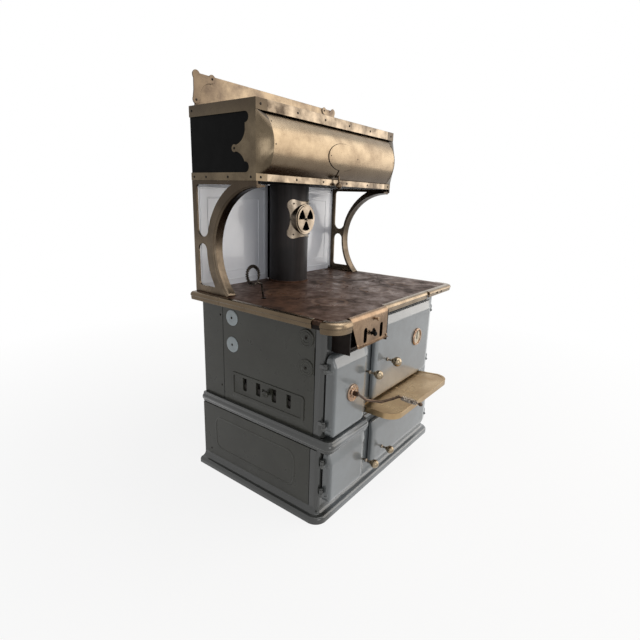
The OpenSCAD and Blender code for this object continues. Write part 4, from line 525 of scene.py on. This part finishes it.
# Nodes that keep the CAD mesh: thin wound forms and things out of sight
KEPT = {"crank_grip", "lid_lifter", "oven_rack", "grate_frame", "grate_bar_left", "grate_bar_right",
        "firebox_lining", "ash_pan", "oven_box", "gauge_needle"}
# Nodes whose own mesh a form made further down replaces
REMADE = {"screws", "cover_plates", "rosette", "lower_side_left", "lower_side_right"}

for node, obj in frame["nodes"].items():
    finish = FINISH_OF.get(node) or FINISH[SLOT_OF[node]]
    if node.startswith("lid_") and node != "lid_lifter":
        low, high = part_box(node)
        finish = seasoned_iron("iron_" + node, (low + high) / 2)
    if node in KEPT or node in REMADE:
        set_only(obj, finish)
    else:
        dress(node, finish)


# Camera, floor and light
def place_camera():
    """The photograph's own viewpoint and framing."""
    azimuth, elevation, roll = (math.radians(a) for a in (CAMERA_AZIMUTH, CAMERA_ELEVATION, CAMERA_ROLL))
    ahead = Vector((math.sin(azimuth) * math.cos(elevation), math.cos(azimuth) * math.cos(elevation),
                    math.sin(elevation)))
    right = Vector((math.cos(azimuth), -math.sin(azimuth), 0))
    up = right.cross(ahead)
    across = right * math.cos(roll) + up * math.sin(roll)
    along = up * math.cos(roll) - right * math.sin(roll)
    data = bpy.data.cameras.new("camera")
    data.sensor_fit = "HORIZONTAL"
    data.sensor_width = SENSOR_MM
    data.lens = LENS_MM
    data.clip_end = CAMERA_REACH
    camera = bpy.data.objects.new("camera", data)
    turned_to = Matrix((across, along, -ahead)).transposed().to_4x4()
    camera.matrix_world = Matrix.Translation(CAMERA_AT) @ turned_to
    bpy.context.scene.collection.objects.link(camera)
    bpy.context.scene.camera = camera


def seen_directly(tree):
    """1 for camera, glossy and transmission rays, 0 for the light that falls on the object."""
    path = add(tree, "ShaderNodeLightPath")
    first = add(tree, "ShaderNodeMath",
                {0: path.outputs["Is Camera Ray"], 1: path.outputs["Is Glossy Ray"]}, operation="MAXIMUM")
    return add(tree, "ShaderNodeMath", {0: first.outputs[0], 1: path.outputs["Is Transmission Ray"]},
               operation="MAXIMUM").outputs[0]


def light_world(strength):
    """White where it is seen, a soft grey where it lights."""
    world = bpy.data.worlds.new("studio")
    world.use_nodes = True
    tree = world.node_tree
    tree.nodes.clear()
    level = remap(tree, seen_directly(tree), 0, 1, strength, 1)
    glow = add(tree, "ShaderNodeBackground", {"Color": (1, 1, 1, 1), "Strength": level})
    add(tree, "ShaderNodeOutputWorld", {"Surface": glow.outputs[0]})
    bpy.context.scene.world = world


# The floor's shadow shows within this distance of the stove, in metres, and fades to white
SHADOW_NEAR = 0.9
SHADOW_FAR = 3.0
SHADOW_SHOWN = 0.86
FLOOR_SIZE = 14.0
WORLD_LEVEL = 0.2


def lay_floor(size):
    """Pale floor that keeps a soft shadow."""
    mesh = bpy.data.meshes.new("floor")
    half = size / 2
    corners = [(-half, -half, 0), (half, -half, 0), (half, half, 0), (-half, half, 0)]
    mesh.from_pydata(corners, [], [(0, 1, 2, 3)])
    floor = bpy.data.objects.new("floor", mesh)
    bpy.context.scene.collection.objects.link(floor)
    material = bpy.data.materials.new("floor_pale")
    material.use_nodes = True
    tree = material.node_tree
    tree.nodes.clear()
    matt = add(tree, "ShaderNodeBsdfDiffuse", {"Color": linear("#f0efed")})
    white = add(tree, "ShaderNodeEmission", {"Color": (1, 1, 1, 1), "Strength": 1.0})
    away = add(tree, "ShaderNodeVectorMath", {0: object_place(tree)}, operation="LENGTH").outputs["Value"]
    share = add(tree, "ShaderNodeMath",
                {0: seen_directly(tree), 1: remap(tree, away, SHADOW_NEAR, SHADOW_FAR, SHADOW_SHOWN, 1)},
                operation="MULTIPLY").outputs[0]
    both = add(tree, "ShaderNodeMixShader", {0: share, 1: matt.outputs[0], 2: white.outputs[0]})
    add(tree, "ShaderNodeOutputMaterial", {"Surface": both.outputs[0]})
    mesh.materials.append(material)


def area_light(name, at, towards, size, watts, colour):
    """A square soft box."""
    data = bpy.data.lights.new(name, "AREA")
    data.size = size
    data.energy = watts
    data.color = linear(colour)[:3]
    lamp = bpy.data.objects.new(name, data)
    lamp.location = at
    lamp.rotation_euler = (Vector(towards) - Vector(at)).to_track_quat("-Z", "Y").to_euler()
    bpy.context.scene.collection.objects.link(lamp)


# Name, place and aim in metres, size in metres, watts, colour
LAMPS = (
    ("key", (2.9, -2.9, 2.2), (0, 0, 0.7), 4.2, 118, "#fff8ef"),
    ("top", (0.3, -0.5, 3.4), (0, 0, 0.8), 2.2, 38, "#ffffff"),
    ("fill", (-1.6, -3.2, 1.3), (0, 0, 0.8), 1.6, 18, "#ffffff"),
)

place_camera()
light_world(WORLD_LEVEL)
lay_floor(FLOOR_SIZE)
for lamp in LAMPS:
    area_light(*lamp)

bpy.context.scene.view_settings.view_transform = "Standard"


# Turned pieces
ROUND_STEPS = 72
JOINED = 0.001 * MM


def turned(shape, outline, at, out, relief=None, steps=ROUND_STEPS):
    """Adds a turned form; outline is (radius, height) in mm from its top to its foot, out is its axis.

    relief(radius, angle) raises the points between, in mm."""
    turn = Vector(out).to_track_quat("Z", "Y").to_matrix()
    rings = []
    for radius, height in outline:
        count = steps if radius > 0 else 1
        ring = []
        for k in range(count):
            angle = 2 * math.pi * k / count
            lift = relief(radius, angle) if relief else 0
            local = Vector((radius * math.cos(angle), radius * math.sin(angle), height + lift)) * MM
            ring.append(shape.verts.new(Vector(at) + turn @ local))
        rings.append(ring)
    for upper, lower in zip(rings, rings[1:]):
        for k in range(steps):
            corners = [upper[k % len(upper)], upper[(k + 1) % len(upper)],
                       lower[(k + 1) % len(lower)], lower[k % len(lower)]]
            corners = [c for i, c in enumerate(corners) if c not in corners[:i]]
            if len(corners) > 2:
                shape.faces.new(corners)


def turned_piece(name, parts, body, material):
    """One piece of several turned forms; parts holds the values for turned."""
    shape = bmesh.new()
    for part in parts:
        turned(shape, *part)
    bmesh.ops.remove_doubles(shape, verts=shape.verts, dist=JOINED)
    bmesh.ops.recalc_face_normals(shape, faces=shape.faces)
    return piece_of(shape, name, body, material, SMOOTH_ANGLE)


# Cover discs on the left panel: two bare porcelain ones at the rear, two painted ones in front
COVER_MM = 33
PORCELAIN_DISC = [(0, 2.4), (5, 2.4), (5.6, 3.3), (12, 3.6), (12.8, 3.0), (14, 3.0), (14.8, 3.8), (29, 4.2),
                  (31.4, 3.5), (COVER_MM, 1.6), (COVER_MM, 0.1), (0, 0.1)]
PAINTED_DISC = [(0, 2.2), (6, 2.2), (7, 3.6), (10, 3.6), (11, 2.4), (17, 2.4), (18.4, 4.2), (22, 4.2),
                (23.4, 2.8), (27, 2.8), (28.6, 4.4), (31, 4.4), (COVER_MM, 2.4), (COVER_MM, 0.1), (0, 0.1)]
cover_low, cover_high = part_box("cover_plates")
for name, outline, y, slot, material in (
        ("cover_discs_porcelain", PORCELAIN_DISC, cover_high.y - COVER_MM * MM, "white_enamel", PORCELAIN),
        ("cover_discs_painted", PAINTED_DISC, cover_low.y + COVER_MM * MM, "blue_enamel", SHADED_SIDE_ENAMEL)):
    discs = [(outline, (cover_high.x, y, z), (-1, 0, 0))
             for z in (cover_low.z + COVER_MM * MM, cover_high.z - COVER_MM * MM)]
    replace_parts(turned_piece(name, discs, "range", material), "cover_plates")


# Raised line of the lower side castings: corner radius, width, rise, length and height of its path, and its
# section as shares of its width and rise. The CAD plate lies PLATE_BACK behind its own raised frame.
LINE_CORNER = 38 * MM
LINE_WIDTH = 9 * MM
LINE_RISE = 1.8 * MM
LINE_SIZE = (0.452, 0.150)
LINE_SECTION = [(-0.5, 0.0), (-0.4, 0.62), (-0.2, 0.93), (0.0, 1.0), (0.2, 0.93), (0.4, 0.62), (0.5, 0.0)]
LINE_SUNK = 0.01 * MM
LINE_STEPS = 12
PLATE_BACK = 3 * MM
PLATE_SHARP = math.radians(50)


def add_block(shape, low, high):
    """A block between two corners, added to a shape."""
    made = bmesh.ops.create_cube(shape, size=1.0)["verts"]
    bmesh.ops.scale(shape, vec=[b - a for a, b in zip(low, high)], verts=made)
    bmesh.ops.translate(shape, vec=[(a + b) / 2 for a, b in zip(low, high)], verts=made)


def add_loop(shape, rows):
    """Closes rows of points into a ring whose section is closed too."""
    for first, second in zip(rows, rows[1:] + rows[:1]):
        for k in range(len(first)):
            after = (k + 1) % len(first)
            shape.faces.new((first[k], first[after], second[after], second[k]))


def lower_panel(node, side):
    """Flat side casting with a raised line that has large round corners."""
    low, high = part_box(node)
    face = (high.x if side > 0 else low.x) - side * PLATE_BACK
    inside = low.x if side > 0 else high.x
    middle = (low + high) / 2
    shape = bmesh.new()
    add_block(shape, (min(face, inside), low.y, low.z), (max(face, inside), high.y, high.z))
    rows = []
    for corner, (along_y, along_z) in enumerate(((1, 1), (-1, 1), (-1, -1), (1, -1))):
        y = middle.y + along_y * (LINE_SIZE[0] / 2 - LINE_CORNER)
        z = middle.z + along_z * (LINE_SIZE[1] / 2 - LINE_CORNER)
        for k in range(LINE_STEPS + 1):
            angle = math.pi / 2 * (corner + k / LINE_STEPS)
            rows.append([shape.verts.new((face + side * (LINE_RISE * up - LINE_SUNK),
                                          y + math.cos(angle) * (LINE_CORNER + LINE_WIDTH * out),
                                          z + math.sin(angle) * (LINE_CORNER + LINE_WIDTH * out)))
                         for out, up in LINE_SECTION])
    add_loop(shape, rows)
    bmesh.ops.recalc_face_normals(shape, faces=shape.faces)
    panel = piece_of(shape, node + "_cast", "range", SHADED_SIDE_ENAMEL, PLATE_SHARP)
    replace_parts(panel, node)


for node, side in (("lower_side_left", -1), ("lower_side_right", 1)):
    lower_panel(node, side)


def joint_lines(name, lines, body):
    """Dark joints between castings, one piece; lines holds the low and the high corner of each."""
    shape = bmesh.new()
    for low, high in lines:
        add_block(shape, low, high)
    return piece_of(shape, name, body, FINISH["black_iron"])


# Half the width of a joint, how far it stands proud and goes in, the outer faces of the side castings, and the
# place behind which the back plate hides a casting's edge
JOINT_HALF = 1.1 * MM
JOINT_PROUD = 0.35 * MM
JOINT_DEEP = 1 * MM
SIDE_FACE = {"upper": 0.442, "lower": 0.457}
HIDDEN_BEHIND = 0.42
lines = []
for storey, side_name, side in (("upper", "left", -1), ("upper", "right", 1), ("lower", "left", -1),
                                ("lower", "right", 1)):
    low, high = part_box(storey + "_side_" + side_name)
    face = SIDE_FACE[storey]
    xs = sorted((side * (face - JOINT_DEEP), side * (face + JOINT_PROUD)))
    for y in (low.y, high.y):
        if y <= HIDDEN_BEHIND:
            lines.append(((xs[0], y - JOINT_HALF, low.z), (xs[1], y + JOINT_HALF, high.z)))
joint_lines("side_joints", lines, "range")


# Black sheet that closes the gap between the white panels behind the flue
SHEET_HALF = 70 * MM
SHEET_CLEAR = 0.3 * MM
SHEET_THICK = 2 * MM
SHEET_INSET = 1 * MM
SHEET_EDGE = 0.4 * MM
panel_low, panel_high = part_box("splash_panels")
shape = bmesh.new()
add_block(shape, (-SHEET_HALF, panel_high.y + SHEET_CLEAR, panel_low.z + SHEET_INSET),
          (SHEET_HALF, panel_high.y + SHEET_CLEAR + SHEET_THICK, panel_high.z - SHEET_INSET))
break_edges(piece_of(shape, "flue_back_sheet", "range", FINISH["black_iron"]), SHEET_EDGE)


# Copper rosette under the crank, with eight petals in low relief; sizes in mm
PETALS = 8
PETAL_FROM_MM = 13
PETAL_LONG_MM = 16
PETAL_RISE_MM = 1.1
PETAL_ROUND = 0.7
DISH_RINGS = 14
DISH_LOW_MM = 4.6
DISH_RISE_MM = 1.2
ROSETTE_STEPS = 128
BORE_MM = 4.3
FOOT_MM = 0.05


def petal(radius, angle):
    """Height of the petals, which fade out at the hub and at the rim."""
    along = max(0.0, min(1.0, (radius - PETAL_FROM_MM) / PETAL_LONG_MM))
    return PETAL_RISE_MM * math.sin(math.pi * along) * abs(math.cos(PETALS / 2 * angle)) ** PETAL_ROUND


low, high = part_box("rosette")
rim_mm = (high.x - low.x) / 2 / MM
hub_mm = (high.y - low.y) / MM
dish = [(PETAL_FROM_MM + PETAL_LONG_MM * k / DISH_RINGS, DISH_LOW_MM + DISH_RISE_MM * k / DISH_RINGS)
        for k in range(DISH_RINGS + 1)]
rosette_outline = [(BORE_MM, FOOT_MM), (BORE_MM, hub_mm - 0.3), (7, hub_mm), (11.5, hub_mm - 0.8),
                   (12.5, 5.2)]
rosette_outline += dish
rosette_outline += [(30, 7.0), (32, 7.2), (33.2, 5.6), (rim_mm, 3.0), (rim_mm, FOOT_MM), (BORE_MM, FOOT_MM)]
rosette_at = ((low.x + high.x) / 2, high.y, (low.z + high.z) / 2)
rosette_form = (rosette_outline, rosette_at, (0, -1, 0), petal, ROSETTE_STEPS)
rosette = turned_piece("rosette_embossed", [rosette_form], "fire_door", FINISH["copper"])
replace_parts(rosette, "rosette")


# Slotted screws where the CAD has its heads
def screw_places():
    """Centre, outward direction and radius of each CAD screw head, in the order of the mesh."""
    shape = merged("screws")
    left = set(shape.verts)
    places = []
    for start in shape.verts:
        if start not in left:
            continue
        left.remove(start)
        stack = [start]
        island = []
        while stack:
            vert = stack.pop()
            island.append(vert.co.copy())
            for edge in vert.link_edges:
                other = edge.other_vert(vert)
                if other in left:
                    left.remove(other)
                    stack.append(other)
        low = Vector(min(p[i] for p in island) for i in range(3))
        high = Vector(max(p[i] for p in island) for i in range(3))
        size = high - low
        axis = min(range(3), key=lambda i: size[i])
        middle = (low + high) / 2
        out = Vector((0, 0, 0))
        out[axis] = math.copysign(1, middle.x) if axis == 0 else -1.0
        if axis == 2:
            out[axis] = 1.0
        middle[axis] = low[axis] if out[axis] > 0 else high[axis]
        places.append((middle, out, max(size) / 2))
    shape.free()
    return places


def geometry_tree(name, inputs, result):
    """A Geometry Nodes tree with named inputs and one result; gives it with its input and output nodes."""
    tree = bpy.data.node_groups.new(name, "GeometryNodeTree")
    for label, kind in inputs:
        tree.interface.new_socket(label, in_out="INPUT", socket_type="NodeSocket" + kind)
    tree.interface.new_socket(result, in_out="OUTPUT", socket_type="NodeSocketGeometry")
    return tree, add(tree, "NodeGroupInput"), add(tree, "NodeGroupOutput")


def finish_tree(tree, given, out, instances):
    """Makes the instances real, gives them the finish and ends the tree."""
    real = add(tree, "GeometryNodeRealizeInstances", {0: instances})
    finish = add(tree, "GeometryNodeSetMaterial",
                 {"Geometry": real.outputs[0], "Material": given.outputs["Finish"]})
    tree.links.new(finish.outputs[0], out.inputs[0])
    return tree


# A screw head of radius 1: length and depth of the slot's cutter, and the height of its middle
SLOT_LONG = 3.0
SLOT_DEEP = 0.5
SLOT_HEIGHT = 0.42
SLOT_WIDTH = 0.24
HEAD_HEIGHT = 0.5
HALF_TURN = 3.14


def screw_tree():
    """Geometry Nodes: a domed head with a slot on every point, turned to its normal."""
    tree, given, out = geometry_tree("slotted_screws", (
        ("Points", "Geometry"), ("Slot width", "Float"), ("Head height", "Float"),
        ("Finish", "Material")), "Screws")
    ball = add(tree, "GeometryNodeMeshUVSphere", {"Segments": 20, "Rings": 10, "Radius": 1.0})
    flat = add(tree, "ShaderNodeCombineXYZ", {"X": 1.0, "Y": 1.0, "Z": given.outputs["Head height"]})
    dome = add(tree, "GeometryNodeTransform", {"Geometry": ball.outputs["Mesh"], "Scale": flat.outputs[0]})
    groove = add(tree, "ShaderNodeCombineXYZ",
                 {"X": SLOT_LONG, "Y": given.outputs["Slot width"], "Z": SLOT_DEEP})
    cutter = add(tree, "GeometryNodeMeshCube", {"Size": groove.outputs[0]})
    raised = add(tree, "GeometryNodeTransform",
                 {"Geometry": cutter.outputs["Mesh"], "Translation": (0, 0, SLOT_HEIGHT)})
    head = add(tree, "GeometryNodeMeshBoolean", {"Mesh 1": dome.outputs[0], "Mesh 2": raised.outputs[0]},
               operation="DIFFERENCE")
    facing = add(tree, "GeometryNodeInputNamedAttribute", {"Name": "out"}, data_type="FLOAT_VECTOR")
    radius = add(tree, "GeometryNodeInputNamedAttribute", {"Name": "radius"}, data_type="FLOAT")
    turn = add(tree, "FunctionNodeAlignRotationToVector", {"Vector": facing.outputs[0]}, axis="Z")
    chance = add(tree, "FunctionNodeRandomValue", {2: 0.0, 3: HALF_TURN, "Seed": 7}, data_type="FLOAT")
    spin = add(tree, "ShaderNodeCombineXYZ", {"Z": chance.outputs[1]})
    spun = add(tree, "FunctionNodeRotateRotation",
               {"Rotation": turn.outputs[0], "Rotate By": spin.outputs[0]}, rotation_space="LOCAL")
    heads = add(tree, "GeometryNodeInstanceOnPoints",
                {"Points": given.outputs["Points"], "Instance": head.outputs[0], "Rotation": spun.outputs[0],
                 "Scale": radius.outputs[0]})
    return finish_tree(tree, given, out, heads.outputs[0])


def grow(tree, points, values, name, attributes=()):
    """Runs a Geometry Nodes tree on points and returns its result as a plain mesh."""
    cloud = bpy.data.meshes.new(name + "_points")
    cloud.from_pydata(points, [], [])
    for key, kind, data in attributes:
        layer = cloud.attributes.new(key, kind, "POINT")
        if kind == "FLOAT_VECTOR":
            layer.data.foreach_set("vector", [c for v in data for c in v])
        else:
            layer.data.foreach_set("value", data)
    seed = bpy.data.objects.new(name + "_points", cloud)
    bpy.context.scene.collection.objects.link(seed)
    modifier = seed.modifiers.new("grow", "NODES")
    modifier.node_group = tree
    sockets = {item.name: item.identifier for item in tree.interface.items_tree if item.in_out == "INPUT"}
    for key, value in values.items():
        modifier[sockets[key]] = value
    bpy.context.view_layer.update()
    ready = seed.evaluated_get(bpy.context.evaluated_depsgraph_get())
    mesh = bpy.data.meshes.new_from_object(ready)
    mesh.name = name
    seed.modifiers.remove(modifier)
    bpy.data.objects.remove(seed)
    return mesh


def slotted_screws(name, places, body):
    """Slotted screws, one piece; places holds centre, outward direction and radius."""
    centres, directions, sizes = zip(*places)
    values = {"Slot width": SLOT_WIDTH, "Head height": HEAD_HEIGHT, "Finish": SCREW_STEEL}
    layers = [("out", "FLOAT_VECTOR", directions), ("radius", "FLOAT", sizes)]
    heads = grow(screw_tree(), centres, values, name, layers)
    return new_piece(name, heads, body, SCREW_STEEL)


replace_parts(slotted_screws("slotted_screws", screw_places(), "range"), "screws")

# Small screws of the roll door and its handle plate, square to the barrel
DOOR_SCREW = 2.6 * MM
DOOR_SCREW_IN = 9 * MM
DOOR_SCREW_ANGLES = (-34, 0, 34)
PLATE_SCREW_IN = 14 * MM
PLATE_SCREW_WAY = (0, -1, -0.075)
PLATE_THICK = 3 * MM
roll_axis = Vector(next(j["pos_m"] for j in frame["joints"] if j["name"] == "closet_door_roll"))
roll_low, roll_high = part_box("closet_door")
plate_low, plate_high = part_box("closet_handle")
barrel = roll_axis.y - roll_low.y


def on_roll(x, way, radius):
    """Centre, direction and radius of a screw that stands on the barrel or on what lies on it."""
    return Vector((x, roll_axis.y, roll_axis.z)) + way * radius, way, DOOR_SCREW


door_screws = []
for x in (roll_low.x + DOOR_SCREW_IN, roll_high.x - DOOR_SCREW_IN):
    for angle in DOOR_SCREW_ANGLES:
        way = Vector((0, -math.cos(math.radians(angle)), math.sin(math.radians(angle))))
        door_screws.append(on_roll(x, way, barrel))
for x in (plate_low.x + PLATE_SCREW_IN, plate_high.x - PLATE_SCREW_IN):
    door_screws.append(on_roll(x, Vector(PLATE_SCREW_WAY).normalized(), barrel + PLATE_THICK))
slotted_screws("roll_door_screws", door_screws, "closet_door")

# Dark joint round the oval plate: a thin gasket that follows its outline and its tongue. PLATE_SIZE and TONGUE are
# half widths and heights, PLATE_DROP is how far the oval's middle lies below the roll's axis.
GASKET_OUT = 1.3 * MM
GASKET_IN = 1.0 * MM
GASKET_LIFT = 0.9 * MM
GASKET_FOOT = 0.05 * MM
GASKET_STEPS = 96
PLATE_SIZE = (110 * MM, 52 * MM)
PLATE_DROP = 10 * MM
TONGUE = (16 * MM, 28 * MM)


def gasket_line(grown):
    """Outline of the plate grown by a distance, as x and z."""
    wide, tall = PLATE_SIZE[0] + grown, PLATE_SIZE[1] + grown
    side, foot = TONGUE[0] + grown, -PLATE_SIZE[1] - TONGUE[1] - grown
    gap = math.asin(side / wide)
    start = -math.pi / 2 + gap
    turns = [start + k * (2 * math.pi - 2 * gap) / GASKET_STEPS for k in range(GASKET_STEPS + 1)]
    return [(wide * math.cos(turn), tall * math.sin(turn)) for turn in turns] + [(-side, foot), (side, foot)]


def on_barrel(x, z, radius):
    """Point at the height z on the roll door's barrel."""
    up = z + roll_axis.z - PLATE_DROP
    return Vector((x, roll_axis.y - math.sqrt(radius ** 2 - (up - roll_axis.z) ** 2), up))


shape = bmesh.new()
outer, inner = gasket_line(GASKET_OUT), gasket_line(-GASKET_IN)
add_loop(shape, [[shape.verts.new(on_barrel(x, z, barrel + lift)) for x, z in line] for line, lift in (
    (outer, GASKET_FOOT), (outer, GASKET_LIFT), (inner, GASKET_LIFT), (inner, GASKET_FOOT))])
bmesh.ops.recalc_face_normals(shape, faces=shape.faces)
piece_of(shape, "plate_gasket", "closet_door", FINISH["black_iron"])

# Four screws hold the draft plate to the flue, square to the pipe; their places from the plate's middle
PIPE_SCREW = (56 * MM, 68 * MM)
PIPE_SCREW_R = 3.6 * MM
DRAFT_PLATE_THICK = 3 * MM
pipe_low, pipe_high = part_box("flue_pipe")
draft_low, draft_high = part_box("draft_spinner")
pipe_y = (pipe_low.y + pipe_high.y) / 2
draft_z = (draft_low.z + draft_high.z) / 2
draft_r = (pipe_high.x - pipe_low.x) / 2 + DRAFT_PLATE_THICK
pipe_screws = []
for side in (-1, 1):
    way = Vector((side * PIPE_SCREW[0], -math.sqrt(draft_r ** 2 - PIPE_SCREW[0] ** 2), 0)) / draft_r
    for up in (-PIPE_SCREW[1], PIPE_SCREW[1]):
        pipe_screws.append((Vector((0, pipe_y, draft_z + up)) + way * draft_r, way, PIPE_SCREW_R))
slotted_screws("draft_plate_screws", pipe_screws, "range")


# Turned nickel balls on the latch knobs, over their CAD cores
BALL_MM = {"oven_knob": 20.0, "fire_knob": 17.5, "ash_knob": 17.5, "lower_knob": 17.0}
BALL_SINK = 1.0 * MM
BALL_STEPS = 20
BALL_SHOWN = 18
COLLAR_SHARES = (0.52, 0.5)
COLLAR_MM = (1.0, 3.5)


def ball_outline(radius):
    """Outline of a ball with a flat collar behind it."""
    turns = [k * math.pi / BALL_STEPS for k in range(BALL_SHOWN)]
    arc = [(radius * math.sin(turn), radius * math.cos(turn)) for turn in turns]
    foot = arc[-1][1]
    collar = [(radius * share, foot - drop) for share, drop in zip(COLLAR_SHARES, COLLAR_MM)]
    return arc + collar + [(0, foot - COLLAR_MM[-1])]


for node, ball_mm in BALL_MM.items():
    joint = next(j for j in frame["joints"] if j["name"] == node + "_turn")
    low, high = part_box(node)
    at = Vector((joint["pos_m"][0], low.y + ball_mm * MM - BALL_SINK, joint["pos_m"][2]))
    turned_piece(node + "_ball", [(ball_outline(ball_mm), at, (0, -1, 0))], node, BALL_NICKEL)


# Oven gauge: a cream dial with a ring of marks
ARC_FROM = math.radians(-35)
ARC_LONG = math.radians(250)
ARC_STEPS = 64
MARK_THICK = 0.1 * MM


def dial_tree():
    """Geometry Nodes: bars along an arc, pointing at its middle, stood up to face the front."""
    tree, given, out = geometry_tree("dial_marks", (
        ("Place", "Geometry"), ("Radius", "Float"), ("Count", "Int"), ("Mark length", "Float"),
        ("Mark width", "Float"), ("Finish", "Material")), "Marks")
    arc = add(tree, "GeometryNodeCurveArc",
              {"Resolution": ARC_STEPS, "Radius": given.outputs["Radius"], "Start Angle": ARC_FROM,
               "Sweep Angle": ARC_LONG})
    spread = add(tree, "GeometryNodeCurveToPoints",
                 {"Curve": arc.outputs["Curve"], "Count": given.outputs["Count"]})
    size = add(tree, "ShaderNodeCombineXYZ",
               {"X": given.outputs["Mark length"], "Y": given.outputs["Mark width"], "Z": MARK_THICK})
    bar = add(tree, "GeometryNodeMeshCube", {"Size": size.outputs[0]})
    where = add(tree, "GeometryNodeInputPosition")
    turn = add(tree, "FunctionNodeAlignRotationToVector", {"Vector": where.outputs[0]}, axis="X")
    marks = add(tree, "GeometryNodeInstanceOnPoints",
                {"Points": spread.outputs["Points"], "Instance": bar.outputs["Mesh"], "Rotation": turn.outputs[0]})
    stood = add(tree, "GeometryNodeTransform",
                {"Geometry": marks.outputs[0], "Rotation": (math.radians(90), 0, 0)})
    placed = add(tree, "GeometryNodeInstanceOnPoints",
                 {"Points": given.outputs["Place"], "Instance": stood.outputs[0]})
    return finish_tree(tree, given, out, placed.outputs[0])


DIAL_MM = 30
DIAL_HOLE_MM = 3
DIAL_TOP_MM = 0.12
DIAL_FOOT_MM = -0.05
DIAL_RECESS = 6.3 * MM
MARKS_FORWARD = 0.15 * MM
DIAL_ENAMEL = vitreous_enamel("dial_cream", "#cbbfa6", "#b5a78c", 0.3, "#5a4a38", 0.9)
low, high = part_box("oven_gauge")
dial_at = Vector(((low.x + high.x) / 2, low.y + DIAL_RECESS, (low.z + high.z) / 2))
dial_outline = [(DIAL_HOLE_MM, DIAL_FOOT_MM), (DIAL_HOLE_MM, DIAL_TOP_MM), (DIAL_MM, DIAL_TOP_MM),
                (DIAL_MM, DIAL_FOOT_MM), (DIAL_HOLE_MM, DIAL_FOOT_MM)]
turned_piece("gauge_dial", [(dial_outline, dial_at, (0, -1, 0))], "oven_door", DIAL_ENAMEL)
mark_values = {"Radius": 25.5 * MM, "Count": 11, "Mark length": 5 * MM, "Mark width": 0.9 * MM,
               "Finish": FINISH["needle_black"]}
marks = grow(dial_tree(), [dial_at + Vector((0, -MARKS_FORWARD, 0))], mark_values, "gauge_marks")
new_piece("gauge_marks", marks, "oven_door", FINISH["needle_black"])
